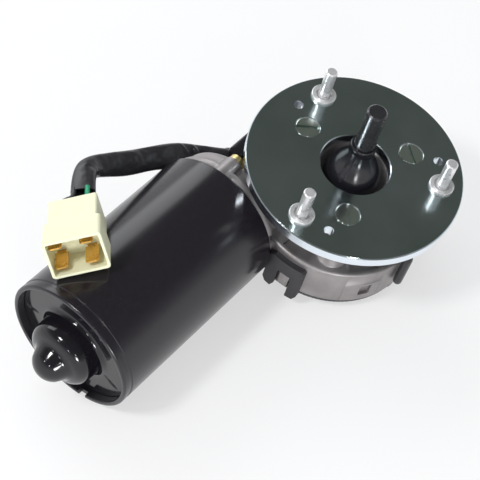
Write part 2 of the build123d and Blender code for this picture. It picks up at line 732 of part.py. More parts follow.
with BuildPart() as windings:
    for near, far in ((ARMATURE_START - 8, ARMATURE_START), (ARMATURE_END, ARMATURE_END + 9)):
        with BuildSketch(MOTOR_SECTION):
            with BuildLine():
                outline((near, 8, 2), (near, 19, 3), (far, 19, 1), (far, 8, 1))
            make_face()
        revolve(axis=MOTOR_AXIS)
    with BuildSketch(across_motor(ARMATURE_START - 2)):
        with PolarLocations(14.2, ARMATURE_SLOTS):
            SlotOverall(7.2, 3.6)
    extrude(amount=ARMATURE_END - ARMATURE_START + 4)
windings.part.label = "windings"
export_step(windings.part, "parts/windings.step")

with BuildPart() as commutator:
    with BuildSketch(MOTOR_SECTION):
        with BuildLine():
            outline(
                (-84, 5, 0),
                (-84, 13.5, 0),
                (-82, 13.5, 0),
                (-82, COMMUTATOR_RADIUS, 0),
                (-64, COMMUTATOR_RADIUS, 0.8),
                (-64, 5, 0),
            )
        make_face()
    revolve(axis=MOTOR_AXIS)
    with BuildSketch(across_motor(-84)):
        with PolarLocations(12.7, ARMATURE_SLOTS, start_angle=15):
            Rectangle(3, 0.6)
    extrude(amount=20, mode=Mode.SUBTRACT)
commutator.part.label = "commutator"
export_step(commutator.part, "parts/commutator.step")

# --- Bushes of the armature -------------------------------------------------------------------------

with BuildPart() as front_bush:
    with BuildSketch(across_motor(-34)):
        Circle(BUSH_SEAT_RADIUS)
        Circle(FRONT_JOURNAL_RADIUS + RUNNING_GAP, mode=Mode.SUBTRACT)
    extrude(amount=12)
front_bush.part.label = "front_bush"
export_step(front_bush.part, "parts/front_bush.step")

with BuildPart() as end_bush:
    with BuildSketch(across_motor(END_BUSH_START)):
        Circle(END_BUSH_SEAT_RADIUS)
        Circle(END_JOURNAL_RADIUS + RUNNING_GAP, mode=Mode.SUBTRACT)
    extrude(amount=END_BUSH_END - END_BUSH_START)
end_bush.part.label = "end_bush"
export_step(end_bush.part, "parts/end_bush.step")

with BuildPart() as thrust_screw:
    with BuildSketch(across_motor(25.7)):
        Circle(4)
    extrude(amount=6)
    chamfer(thrust_screw.faces().sort_by(Axis.X)[-1].edges(), length=0.6)
    with BuildSketch(across_motor(30.2)):
        Rectangle(9, 1.2)
    extrude(amount=2, mode=Mode.SUBTRACT)
thrust_screw.part.label = "thrust_screw"
export_step(thrust_screw.part, "parts/thrust_screw.step")

# --- Motor can, its end plate and field ------------------------------------------------------------

CAN_FLANGE_X = FLANGE_X - 3

with BuildPart() as motor_can:
    with BuildSketch(MOTOR_SECTION):
        with BuildLine():
            outline(
                (CAN_NEAR, CAN_BORE, 0.7),
                (CAN_NEAR, CAN_RADIUS, 1.2),
                (-148.4, CAN_RADIUS, 0),
                (-148.0, CAN_RADIUS - 0.5, 0),
                (-146.8, CAN_RADIUS - 0.5, 0),
                (-146.4, CAN_RADIUS, 0),
                (FLANGE_X, CAN_RADIUS, 1.2),
                (FLANGE_X, SPIGOT_RADIUS + 0.05, 0),
                (CAN_FLANGE_X, SPIGOT_RADIUS + 0.05, 0),
                (CAN_FLANGE_X, CAN_BORE, 0),
            )
        make_face()
    revolve(axis=MOTOR_AXIS)
    for angle in CAN_SCREW_ANGLES:
        centre = on_motor_circle(CAN_FLANGE_X, CAN_SCREW_CIRCLE, angle)
        with BuildSketch(Plane(origin=centre, x_dir=(0, 1, 0), z_dir=(1, 0, 0))):
            Circle(CAN_SCREW_RADIUS)
        extrude(amount=3, mode=Mode.SUBTRACT)
    with BuildSketch(motor_radial(CAN_NEAR, -159).offset(30)):
        Rectangle(5, 5)
    extrude(amount=8, mode=Mode.SUBTRACT)
motor_can.part.label = "motor_can"
export_step(motor_can.part, "parts/motor_can.step")

with BuildPart() as can_screws:
    for angle in CAN_SCREW_ANGLES:
        for start, radius, length in (
            (CAN_SCREW_SEAT_X, 4.4, 3.2),
            (CAN_FLANGE_X - 1, CAN_SCREW_RADIUS, CAN_SCREW_SEAT_X - CAN_FLANGE_X + 1),
        ):
            centre = on_motor_circle(start, CAN_SCREW_CIRCLE, angle)
            with BuildSketch(Plane(origin=centre, x_dir=(0, 1, 0), z_dir=(1, 0, 0))):
                Circle(radius)
            extrude(amount=length)
        centre = on_motor_circle(CAN_SCREW_SEAT_X + 2.0, CAN_SCREW_CIRCLE, angle)
        with BuildSketch(Plane(origin=centre, x_dir=(0, 1, 0), z_dir=(1, 0, 0))):
            RegularPolygon(radius=1.9, side_count=6, rotation=15)
        extrude(amount=2, mode=Mode.SUBTRACT)
can_screws.part.label = "can_screws"
export_step(can_screws.part, "parts/can_screws.step")

with BuildPart() as rear_end_plate:
    with BuildSketch(MOTOR_SECTION):
        with BuildLine():
            skirt = FilletPolyline(
                (-148.5, CAN_BORE),
                (END_PLATE_X, CAN_BORE),
                (END_PLATE_X, 21.0),
                (-158.5, 14.5),
                (-160.7, 12.3),
                (-161, 8.8),
                (-165.5, 8.8),
                radius=[0.6, 3.0, 1.5, 1.2, 1.0],
            )
            tip = RadiusArc(skirt @ 1, (-174.3, 0), -8.8)
            Line(tip @ 1, (-172.3, 0))
            hollow = RadiusArc((-172.3, 0), (-165.5, 6.8), 6.8)
            neck_x = BEARING_X - sqrt(BEARING_SPHERE**2 - 6.8**2)
            mouth_x = -158.5
            mouth_radius = sqrt(BEARING_SPHERE**2 - (BEARING_X - mouth_x) ** 2)
            Line(hollow @ 1, (neck_x, 6.8))
            seat = RadiusArc((neck_x, 6.8), (mouth_x, mouth_radius), BEARING_SPHERE)
            Polyline(
                seat @ 1,
                (mouth_x, 11),
                (-152.2, 15),
                (-152.2, 17),
                (-148.5, 19.5),
                (-148.5, CAN_BORE),
            )
        make_face()
    revolve(axis=MOTOR_AXIS)
    # two short pressed marks beside the dome
    for angle, middle in ((96, 27.7), (-109, 26.0)):
        with BuildSketch(motor_radial(END_PLATE_X, angle).offset(middle - 3.8)):
            Rectangle(1.0, 1.6)
        extrude(amount=7.6, mode=Mode.SUBTRACT)
rear_end_plate.part.label = "rear_end_plate"
export_step(rear_end_plate.part, "parts/rear_end_plate.step")

with BuildPart() as rear_bearing:
    with BuildSketch(MOTOR_SECTION):
        with BuildLine():
            low, high = BEARING_X - 5.5, BEARING_X + 5.5
            rim = sqrt(BEARING_SPHERE**2 - 5.5**2)
            bore = REAR_JOURNAL_RADIUS + RUNNING_GAP
            Line((low, bore), (low, rim))
            ThreePointArc((low, rim), (BEARING_X, BEARING_SPHERE), (high, rim))
            Line((high, rim), (high, bore))
            Line((high, bore), (low, bore))
        make_face()
    revolve(axis=MOTOR_AXIS)
rear_bearing.part.label = "rear_bearing"
export_step(rear_bearing.part, "parts/rear_bearing.step")

with BuildPart() as bearing_retainer:
    with BuildSketch(across_motor(-152.2)):
        Circle(16.9)
        Circle(7.1, mode=Mode.SUBTRACT)
        with PolarLocations(9, 6):
            Rectangle(5, 1.5, mode=Mode.SUBTRACT)
    extrude(amount=0.8)
bearing_retainer.part.label = "bearing_retainer"
export_step(bearing_retainer.part, "parts/bearing_retainer.step")

with BuildPart() as field_magnets:
    with BuildSketch(across_motor(-142)):
        for middle in (0, 180):
            with BuildLine():
                arc_strip(22.6, CAN_BORE, middle - 60, middle + 60)
            make_face()
    extrude(amount=48)
field_magnets.part.label = "field_magnets"
export_step(field_magnets.part, "parts/field_magnets.step")

with BuildPart() as magnet_clips:
    with BuildSketch(across_motor(-138)):
        for middle in (90, 270):
            with BuildLine():
                arc_strip(31.8, CAN_BORE, middle - 30, middle + 30)
            make_face()
            for side in (-1, 1):
                with BuildLine():
                    end = middle + side * 30
                    arc_strip(27, 32.5, min(end, end - side * 2), max(end, end - side * 2))
                make_face()
    extrude(amount=40)
magnet_clips.part.label = "magnet_clips"
export_step(magnet_clips.part, "parts/magnet_clips.step")

# --- Brush gear -------------------------------------------------------------------------------------

HOLDER_INNER = 15.0
HOLDER_OUTER = 31.0
BRUSH_TANGENTIAL = 6.0
BRUSH_AXIAL = 8.0
BRUSH_OUTER = 23.0
HOLDER_WALL = 1.0

with BuildPart() as brush_plate:
    with BuildSketch(across_motor(BRUSH_X + BRUSH_AXIAL / 2 + HOLDER_WALL)):
        Circle(CAN_BORE)
        Circle(14, mode=Mode.SUBTRACT)
    extrude(amount=2)
brush_plate.part.label = "brush_plate"
export_step(brush_plate.part, "parts/brush_plate.step")

with BuildPart() as brush_holders:
    for angle in BRUSH_ANGLES:
        facing = motor_radial(BRUSH_X, angle)
        with BuildSketch(facing.offset(HOLDER_INNER)):
            Rectangle(BRUSH_AXIAL + 2 * HOLDER_WALL, BRUSH_TANGENTIAL + 2 * HOLDER_WALL)
        extrude(amount=HOLDER_OUTER - HOLDER_INNER)
        with BuildSketch(facing.offset(HOLDER_INNER)):
            Rectangle(BRUSH_AXIAL, BRUSH_TANGENTIAL)
        extrude(amount=HOLDER_OUTER - HOLDER_INNER - HOLDER_WALL, mode=Mode.SUBTRACT)
brush_holders.part.label = "brush_holders"
export_step(brush_holders.part, "parts/brush_holders.step")

with BuildPart() as carbon_brushes:
    for angle in BRUSH_ANGLES:
        with BuildSketch(motor_radial(BRUSH_X, angle).offset(COMMUTATOR_RADIUS - 1)):
            Rectangle(BRUSH_AXIAL, BRUSH_TANGENTIAL)
        extrude(amount=BRUSH_OUTER - COMMUTATOR_RADIUS + 1)
    with BuildSketch(across_motor(BRUSH_X - 6)):
        Circle(COMMUTATOR_RADIUS + 0.05)
    extrude(amount=12, mode=Mode.SUBTRACT)
carbon_brushes.part.label = "carbon_brushes"
export_step(carbon_brushes.part, "parts/carbon_brushes.step")

SPRING_WIRE = 0.35
SPRING_RADIUS = 2.0
SPRING_TURNS = 3.5
spring_height = HOLDER_OUTER - HOLDER_WALL - BRUSH_OUTER - 2 * SPRING_WIRE

with BuildPart() as spring_coil:
    with BuildLine() as coil:
        Helix(pitch=spring_height / SPRING_TURNS, height=spring_height, radius=SPRING_RADIUS)
    with BuildSketch(Plane(origin=(SPRING_RADIUS, 0, 0), x_dir=(1, 0, 0), z_dir=(0, 1, 0))):
        RegularPolygon(radius=SPRING_WIRE, side_count=6)
    sweep(path=coil.line, is_frenet=True)

seated_springs = [
    motor_radial(BRUSH_X, angle).offset(BRUSH_OUTER + SPRING_WIRE).location * spring_coil.part
    for angle in BRUSH_ANGLES
]

with BuildPart() as brush_springs:
    add(seated_springs)
brush_springs.part.label = "brush_springs"
export_step(brush_springs.part, "parts/brush_springs.step")

# --- Harness and connector --------------------------------------------------------------------------

sleeve_points = [Vector(*point) for point in SLEEVE_ROUTE]
sleeve_start_direction = (sleeve_points[1] - sleeve_points[0]).normalized()
sleeve_end_direction = (sleeve_points[-1] - sleeve_points[-2]).normalized()


def bend_radii(points):
    """Radius of the arc at each inner point: 0.45 of the shorter run over the tangent of half the turn."""
    radii = []
    for before, here, after in zip(points, points[1:], points[2:]):
        turn = (here - before).get_angle(after - here)
        shorter = min((here - before).length, (after - here).length)
        radii.append(0.45 * shorter / tan(radians(turn / 2)))
    return radii


with BuildPart() as cable_grommet:
    with BuildSketch(Plane.XY.offset(COVER_RING_TOP)):
        with Locations((-4, 63.5)):
            RectangleRounded(18, 17, 3)
    extrude(amount=2)
    with BuildSketch(Plane.XY.offset(COVER_RING_TOP + 2)):
        with Locations((-4, 63.5)):
            RectangleRounded(15, 14.6, 3.5)
    with BuildSketch(Plane.XY.offset(-38.5)):
        with Locations((-5, 64.5)):
            RectangleRounded(12, 11, 4)
    loft()
    spout = Plane(origin=sleeve_points[0], z_dir=-sleeve_start_direction)
    with BuildSketch(spout):
        Circle(SLEEVE_RADIUS + 1.4)
    extrude(amount=12)
    with BuildSketch(spout.offset(3)):
        Circle(SLEEVE_RADIUS + 2.2)
    extrude(amount=1.5)
cable_grommet.part.label = "cable_grommet"
export_step(cable_grommet.part, "parts/cable_grommet.step")

with BuildPart() as harness_sleeve:
    radii = bend_radii(sleeve_points)
    print("sleeve radii", [round(radius, 1) for radius in radii])
    with BuildLine() as sleeve_path:
        FilletPolyline(*SLEEVE_ROUTE, radius=radii)
    with BuildSketch(Plane(origin=sleeve_points[0], z_dir=sleeve_start_direction)):
        Circle(SLEEVE_RADIUS)
    sweep(path=sleeve_path.line)
sleeve_length = sleeve_path.wire().length
print("sleeve length", round(sleeve_length, 1))
expected = pi * SLEEVE_RADIUS**2 * sleeve_length
print("sleeve volume over section times length", round(harness_sleeve.part.volume / expected, 4))
harness_sleeve.part.label = "harness_sleeve"
export_step(harness_sleeve.part, "parts/harness_sleeve.step")

sleeve_end = Plane(origin=sleeve_points[-1], x_dir=CONNECTOR.x_dir, z_dir=sleeve_end_direction)

with BuildPart() as harness_wires:
    for across, up in TERMINAL_PLACES:
        leaves = sleeve_end.from_local_coords(Vector(across * 0.36, up * 0.42, 0))
        enters = CONNECTOR.from_local_coords(Vector(across, -REAR_POCKET_DEPTH, up))
        wire_points = [
            leaves,
            leaves + sleeve_end_direction * 5,
            enters + CONNECTOR.y_dir * 7.5,
            enters,
        ]
        with BuildLine() as wire_path:
            FilletPolyline(*wire_points, radius=bend_radii(wire_points))
        with BuildSketch(Plane(origin=leaves, z_dir=sleeve_end_direction)):
            Circle(WIRE_RADIUS)
        sweep(path=wire_path.line)
harness_wires.part.label = "harness_wires"
export_step(harness_wires.part, "parts/harness_wires.step")

COLLAR_LENGTH = CONNECTOR_LENGTH - CONNECTOR_BODY_LENGTH

with BuildPart() as connector_housing:
    # narrower rear body, then the wider collar round the mouth
    with BuildSketch(CONNECTOR_FRONT):
        RectangleRounded(CONNECTOR_BODY_WIDTH, CONNECTOR_HEIGHT - 1.2, 1.2)
    extrude(amount=CONNECTOR_BODY_LENGTH)
    with BuildSketch(CONNECTOR_FRONT.offset(CONNECTOR_BODY_LENGTH)):
        RectangleRounded(CONNECTOR_WIDTH, CONNECTOR_HEIGHT, 1.6)
    extrude(amount=COLLAR_LENGTH)
    with BuildSketch(CONNECTOR_FRONT.offset(CONNECTOR_LENGTH - MOUTH_DEPTH)):
        RectangleRounded(CONNECTOR_WIDTH - 2 * CONNECTOR_WALL, CONNECTOR_HEIGHT - 2 * CONNECTOR_WALL, 0.8)
    extrude(amount=MOUTH_DEPTH, mode=Mode.SUBTRACT)
    # slots that hold the necks of the blades
    with BuildSketch(CONNECTOR_FRONT.offset(-BLADE_ROOT)):
        with Locations(*TERMINAL_PLACES):
            Rectangle(BLADE_NECK, BLADE_THICKNESS)
    extrude(amount=CONNECTOR_LENGTH - MOUTH_DEPTH + BLADE_ROOT, mode=Mode.SUBTRACT)
    # pockets that the wires go into
    with BuildSketch(CONNECTOR_FRONT):
        with Locations(*TERMINAL_PLACES):
            Rectangle(REAR_POCKET_WIDTH, REAR_POCKET_HEIGHT)
    extrude(amount=REAR_POCKET_DEPTH, mode=Mode.SUBTRACT)
connector_housing.part.label = "connector_housing"
export_step(connector_housing.part, "parts/connector_housing.step")

with BuildPart() as terminal_blades:
    for across, up in TERMINAL_PLACES:
        with BuildSketch(CONNECTOR.offset(up - BLADE_THICKNESS / 2)):
            with BuildLine():
                outline(
                    (across - BLADE_NECK / 2, BLADE_ROOT, 0),
                    (across - BLADE_NECK / 2, BLADE_SHOULDER, 0),
                    (across - BLADE_WIDTH / 2, BLADE_SHOULDER, 0.5),
                    (across - BLADE_WIDTH / 2, 1 - BLADE_TIP, 0),
                    (across + 1 - BLADE_WIDTH / 2, -BLADE_TIP, 0),
                    (across - 1 + BLADE_WIDTH / 2, -BLADE_TIP, 0),
                    (across + BLADE_WIDTH / 2, 1 - BLADE_TIP, 0),
                    (across + BLADE_WIDTH / 2, BLADE_SHOULDER, 0.5),
                    (across + BLADE_NECK / 2, BLADE_SHOULDER, 0),
                    (across + BLADE_NECK / 2, BLADE_ROOT, 0),
                )
            make_face()
        extrude(amount=BLADE_THICKNESS)
terminal_blades.part.label = "terminal_blades"
export_step(terminal_blades.part, "parts/terminal_blades.step")
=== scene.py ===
import json
from math import asin, atan2, cos, exp, pi, radians, sin

import bpy
import bmesh
from mathutils import Matrix, Vector, noise


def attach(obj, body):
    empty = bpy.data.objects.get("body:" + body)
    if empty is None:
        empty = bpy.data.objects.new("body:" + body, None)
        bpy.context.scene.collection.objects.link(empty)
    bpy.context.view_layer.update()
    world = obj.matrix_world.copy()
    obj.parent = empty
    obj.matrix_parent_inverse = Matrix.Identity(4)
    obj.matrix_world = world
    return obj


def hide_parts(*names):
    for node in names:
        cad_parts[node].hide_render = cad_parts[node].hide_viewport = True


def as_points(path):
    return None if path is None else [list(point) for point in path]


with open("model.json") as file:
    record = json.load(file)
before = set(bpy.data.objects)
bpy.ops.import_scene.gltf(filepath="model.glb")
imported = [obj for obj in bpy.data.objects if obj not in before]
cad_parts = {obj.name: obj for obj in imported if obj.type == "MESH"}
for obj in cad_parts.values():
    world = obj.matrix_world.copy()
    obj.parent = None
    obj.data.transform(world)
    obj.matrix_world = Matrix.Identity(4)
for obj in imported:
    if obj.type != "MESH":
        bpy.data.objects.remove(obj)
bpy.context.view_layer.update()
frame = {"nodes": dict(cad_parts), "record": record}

MM = 0.001
nodes = frame["nodes"]
shown = bpy.context.scene.collection

# --- Measures shared with the solids, in millimetres -------------------------------------------------

MOTOR_Y, MOTOR_Z = 41.0, -42.0
CAN_RADIUS = 35.5
COVER_FLOOR_EDGE = Vector((0, -36.8, -62.5))
SLEEVE_ROUTE = [
    (-14.5, 61.8, -44.5),
    (-26.0, 69.9, -41.4),
    (-38.6, 77.2, -35.5),
    (-52.4, 82.6, -30.4),
    (-65.5, 87.0, -27.0),
    (-76.6, 91.0, -22.0),
    (-86.0, 94.2, -17.8),
    (-93.5, 93.0, -15.0),
    (-102.3, 84.9, -13.8),
]
CONNECTOR_REAR = Vector((-115.5, 76.6, -9.2))
CONNECTOR_ACROSS = Vector((0.712, -0.616, 0.335))
CONNECTOR_UP = Vector((0.030, 0.504, 0.863)).normalized()
REAR_POCKET_DEPTH = 3.0
TERMINAL_PLACES = [(-8.5, -5.4), (5.9, -5.4), (-8.5, 5.4), (5.9, 5.4)]
WIRE_DIAMETER = 2.4

# --- Camera ------------------------------------------------------------------------------------------

CAMERA_PLACE = Vector((-414.6, -144.0, 543.6))
CAMERA_TARGET = Vector((-55.0, 21.0, -33.8))
CAMERA_ROLL = 18.48
CAMERA_LENS = 106.45


def add_camera():
    data = bpy.data.cameras.new("camera")
    data.lens = CAMERA_LENS
    data.clip_start = 0.01
    camera = bpy.data.objects.new("camera", data)
    shown.objects.link(camera)
    look = (CAMERA_TARGET - CAMERA_PLACE).normalized()
    facing = look.to_track_quat("-Z", "Y").to_matrix() @ Matrix.Rotation(radians(CAMERA_ROLL), 3, "Z")
    camera.matrix_world = Matrix.Translation(CAMERA_PLACE * MM) @ facing.to_4x4()
    bpy.context.scene.camera = camera


# --- Node helpers ------------------------------------------------------------------------------------

# Most of a noise's values lie between these two
NOISE_LOW, NOISE_HIGH = 0.3, 0.7


class Nodes:
    """Short calls for the shader nodes that the finishes, the floor and the world share."""

    def __init__(self, tree):
        self.tree = tree

    def node(self, kind, **settings):
        made = self.tree.nodes.new(kind)
        for key, value in settings.items():
            setattr(made, key, value)
        return made

    def link(self, source, target):
        self.tree.links.new(source, target)

    def feed(self, target, value):
        if isinstance(value, (int, float, tuple)):
            target.default_value = value
        else:
            self.link(value, target)

    def ramp(self, value, *stops):
        made = self.node("ShaderNodeValToRGB")
        elements = made.color_ramp.elements
        while len(elements) < len(stops):
            elements.new(0.5)
        for element, (position, color) in zip(elements, stops):
            element.position = position
            element.color = (*color, 1)
        self.link(value, made.inputs["Fac"])
        return made.outputs["Color"]

    def span(self, value, low, high, to_low, to_high):
        made = self.node("ShaderNodeMapRange")
        for socket, number in zip(("From Min", "From Max", "To Min", "To Max"), (low, high, to_low, to_high)):
            made.inputs[socket].default_value = number
        self.link(value, made.inputs["Value"])
        return made.outputs["Result"]

    def math(self, operation, first, second=0.0):
        made = self.node("ShaderNodeMath", operation=operation)
        self.feed(made.inputs[0], first)
        self.feed(made.inputs[1], second)
        return made.outputs["Value"]

    def background(self, color):
        made = self.node("ShaderNodeBackground")
        self.feed(made.inputs["Color"], color)
        return made.outputs["Background"]

    def blend(self, amount, first, second):
        """Shader that goes from the first to the second."""
        made = self.node("ShaderNodeMixShader")
        for socket, source in zip(made.inputs, (amount, first, second)):
            self.link(source, socket)
        return made.outputs["Shader"]


class Surface(Nodes):
    """A material under construction around one Principled shader."""

    def __init__(self, name, color, roughness, metallic=0.0, **sockets):
        self.material = bpy.data.materials.new(name)
        self.material.use_nodes = True
        super().__init__(self.material.node_tree)
        self.shader = self.tree.nodes["Principled BSDF"]
        self.shader.inputs["Base Color"].default_value = (*color, 1)
        self.shader.inputs["Roughness"].default_value = roughness
        self.shader.inputs["Metallic"].default_value = metallic
        for socket, value in sockets.items():
            self.shader.inputs[socket.replace("_", " ")].default_value = value
        self.place = self.node("ShaderNodeTexCoord").outputs["Object"]
        self.height = None

    def scaled_place(self, scale, turn=(0, 0, 0)):
        mapping = self.node("ShaderNodeMapping")
        mapping.inputs["Scale"].default_value = scale
        mapping.inputs["Rotation"].default_value = turn
        self.link(self.place, mapping.inputs["Vector"])
        return mapping.outputs["Vector"]

    def noise(self, scale, detail=4.0, rough=0.55, place=None):
        made = self.node("ShaderNodeTexNoise")
        made.inputs["Scale"].default_value = scale
        made.inputs["Detail"].default_value = detail
        made.inputs["Roughness"].default_value = rough
        self.link(place or self.place, made.inputs["Vector"])
        return made.outputs["Fac"]

    def mix(self, amount, first, second):
        made = self.node("ShaderNodeMix", data_type="RGBA")
        self.feed(made.inputs[0], amount)
        for socket, value in ((made.inputs[6], first), (made.inputs[7], second)):
            self.feed(socket, (*value, 1) if isinstance(value, tuple) else value)
        return made.outputs[2]

    def color(self, value):
        self.link(value, self.shader.inputs["Base Color"])

    def roughness(self, value, smooth, rough, low=NOISE_LOW, high=NOISE_HIGH):
        """Roughness that goes from smooth to rough as the value goes from low to high."""
        self.link(self.span(value, low, high, smooth, rough), self.shader.inputs["Roughness"])

    def bump(self, value, strength, depth_mm):
        made = self.node("ShaderNodeBump")
        made.inputs["Strength"].default_value = strength
        made.inputs["Distance"].default_value = depth_mm * MM
        self.link(value, made.inputs["Height"])
        if self.height:
            self.link(self.height, made.inputs["Normal"])
        self.height = made.outputs["Normal"]
        self.link(self.height, self.shader.inputs["Normal"])

    def normal_z(self):
        """Upward part of the surface's direction, in the object's own frame."""
        split = self.node("ShaderNodeSeparateXYZ")
        self.link(self.node("ShaderNodeTexCoord").outputs["Normal"], split.inputs["Vector"])
        return split.outputs["Z"]


def shaded(color, factor):
    """A colour made darker or lighter, and kept below white."""
    return tuple(min(1.0, factor * channel) for channel in color)


# --- Finishes ----------------------------------------------------------------------------------------


def zinc_plate():
    """Blue zinc: a brushed mirror on the flat faces; the upright side faces carry a painted reflection, a
    pale blue-white colour standing for the bright surroundings they mirror.
    """
    s = Surface("zinc_plate", (0.42, 0.50, 0.52), 0.16, 1.0)
    flatness = s.span(s.math("ABSOLUTE", s.normal_z()), 0.5, 0.9, 0.0, 1.0)
    cloud = s.noise(20, 3)
    face = s.ramp(cloud, (0.3, (0.36, 0.44, 0.43)), (0.5, (0.43, 0.51, 0.52)), (0.74, (0.50, 0.58, 0.62)))
    # Painted reflection: where the surface stands upright the colour goes to pale blue-white, as if it
    # mirrored a bright table
    s.color(s.mix(flatness, (0.86, 0.93, 1.0), face))
    fine = s.noise(300, 6, 0.7, s.scaled_place((1, 14, 1), (0, 0, 0.5)))
    cross = s.noise(260, 6, 0.7, s.scaled_place((12, 1, 1), (0, 0, 0.9)))
    s.roughness(s.math("ADD", fine, cross), 0.09, 0.24, 0.7, 1.35)
    s.bump(fine, 0.18, 0.02)
    s.bump(cross, 0.14, 0.02)
    s.bump(s.noise(9, 2), 0.18, 0.7)
    return s.material


def zinc_part(name, color, roughness, metallic=1.0):
    """Cloudy zinc on small parts."""
    s = Surface(name, color, roughness, metallic)
    cloud = s.noise(180, 5)
    s.color(s.mix(cloud, shaded(color, 0.8), shaded(color, 1.1)))
    s.roughness(cloud, roughness * 0.75, roughness * 1.35)
    s.bump(s.noise(900, 3), 0.12, 0.04)
    return s.material


def screw_zinc():
    """Bright greenish zinc on the screw heads."""
    s = Surface("zinc_screw", (0.66, 0.74, 0.71), 0.16, 1.0)
    cloud = s.noise(90, 3)
    s.color(s.mix(cloud, (0.58, 0.66, 0.63), (0.72, 0.79, 0.76)))
    s.roughness(cloud, 0.13, 0.2)
    s.bump(s.noise(120, 2), 0.05, 0.04)
    return s.material


def die_cast():
    """Grey die-cast aluminium with a fine sandy skin."""
    s = Surface("die_cast", (0.33, 0.31, 0.31), 0.42, 0.75)
    cloud = s.noise(60, 5)
    s.color(s.ramp(cloud, (0.3, (0.25, 0.23, 0.23)), (0.55, (0.33, 0.31, 0.31)), (0.75, (0.40, 0.38, 0.38))))
    s.roughness(cloud, 0.36, 0.55)
    s.bump(s.noise(700, 4, 0.6), 0.35, 0.12)
    s.bump(s.noise(120, 2), 0.2, 0.3)
    return s.material


def can_paint():
    """Semi-gloss black paint with a faint orange-peel."""
    s = Surface("can_black", (0.012, 0.010, 0.013), 0.2)
    s.roughness(s.noise(30, 4), 0.17, 0.24)
    s.bump(s.noise(420, 3), 0.05, 0.06)
    s.color(s.mix(s.noise(500, 5), (0.010, 0.008, 0.011), (0.017, 0.015, 0.019)))
    return s.material


def end_paint():
    """Thick glossy black paint, slightly uneven where it ran."""
    s = Surface("end_black", (0.010, 0.009, 0.011), 0.10)
    s.bump(s.noise(70, 2), 0.10, 0.25)
    s.roughness(s.noise(40, 4), 0.08, 0.13)
    s.color(s.mix(s.noise(300, 4), (0.006, 0.005, 0.007), (0.011, 0.010, 0.013)))
    return s.material


def shaft_black():
    """Dark oxide finish on the turned output shaft."""
    s = Surface("shaft_dark", (0.10, 0.10, 0.11), 0.26, 0.85)
    cloud = s.noise(90, 4)
    s.color(s.mix(cloud, (0.085, 0.085, 0.092), (0.11, 0.11, 0.118)))
    s.roughness(cloud, 0.20, 0.32)
    s.bump(s.noise(400, 3), 0.02, 0.02)
    return s.material


def boot_rubber():
    """Glossy moulded rubber."""
    s = Surface("boot_rubber", (0.010, 0.010, 0.013), 0.16)
    s.roughness(s.noise(120, 4), 0.12, 0.22)
    s.color(s.mix(s.noise(45, 5), (0.008, 0.008, 0.010), (0.015, 0.015, 0.019)))
    s.bump(s.noise(200, 3), 0.08, 0.08)
    return s.material


def cover_plastic():
    """Black plastic with a grained moulded skin."""
    color = (0.022, 0.021, 0.024)
    s = Surface("cover_plastic", color, 0.5)
    s.bump(s.noise(900, 3), 0.3, 0.06)
    s.color(s.mix(s.noise(40, 4), shaded(color, 0.8), shaded(color, 1.4)))
    s.roughness(s.noise(60, 3), 0.42, 0.6)
    return s.material


def nylon():
    """Natural nylon: cream, a little translucent, with a soft moulded skin."""
    s = Surface("connector_nylon", (0.84, 0.85, 0.72), 0.38, Subsurface_Weight=0.25, Subsurface_Scale=0.002)
    s.shader.inputs["Subsurface Radius"].default_value = (1.0, 0.9, 0.6)
    s.color(s.mix(s.noise(35, 4), (0.76, 0.76, 0.52), (0.82, 0.82, 0.60)))
    s.roughness(s.noise(90, 4), 0.3, 0.45)
    s.bump(s.noise(160, 3), 0.12, 0.1)
    return s.material


def brass():
    """Rolled brass of the blades, darker in patches."""
    color = (0.80, 0.47, 0.12)
    s = Surface("terminal_brass", color, 0.25, 1.0)
    cloud = s.noise(140, 4)
    s.color(s.mix(cloud, shaded(color, 0.65), shaded(color, 1.1)))
    s.roughness(cloud, 0.18, 0.38)
    s.bump(s.noise(500, 3, 0.6, s.scaled_place((1, 6, 1))), 0.15, 0.05)
    return s.material


def sleeve_skin():
    """Soft black PVC."""
    s = Surface("sleeve_pvc", (0.018, 0.018, 0.021), 0.34, Specular_IOR_Level=0.6)
    s.roughness(s.noise(110, 4), 0.26, 0.44)
    s.bump(s.noise(170, 3), 0.3, 0.2)
    s.bump(s.noise(900, 3), 0.15, 0.05)
    s.color(s.mix(s.noise(60, 4), (0.014, 0.014, 0.017), (0.028, 0.027, 0.032)))
    return s.material


def wire_skin(name, color):
    """Smooth wire insulation."""
    s = Surface(name, color, 0.35)
    s.color(s.mix(s.noise(200, 3), shaded(color, 0.75), color))
    s.roughness(s.noise(150, 3), 0.28, 0.45)
    return s.material


def plain_inner(name, color, roughness, metallic):
    """A finish for pieces inside the housings."""
    s = Surface(name, color, roughness, metallic)
    cloud = s.noise(150, 4)
    s.color(s.mix(cloud, shaded(color, 0.75), color))
    s.roughness(cloud, roughness * 0.8, min(1.0, roughness * 1.25))
    s.bump(s.noise(500, 3), 0.15, 0.05)
    return s.material


# Colour, roughness and metal share of the pieces inside
INNER_FINISHES = {
    "shaft_steel": ((0.55, 0.55, 0.56), 0.25, 1.0),
    "lamination": ((0.25, 0.25, 0.26), 0.5, 0.9),
    "copper": ((0.72, 0.36, 0.20), 0.3, 1.0),
    "ferrite": ((0.11, 0.11, 0.12), 0.6, 0.2),
    "spring_steel": ((0.5, 0.5, 0.52), 0.28, 1.0),
    "bronze": ((0.6, 0.42, 0.22), 0.4, 1.0),
    "carbon": ((0.05, 0.05, 0.05), 0.7, 0.1),
    "phenolic": ((0.33, 0.19, 0.09), 0.5, 0.0),
    "gear_nylon": ((0.85, 0.84, 0.78), 0.45, 0.0),
    "gasket": ((0.06, 0.06, 0.06), 0.8, 0.0),
}


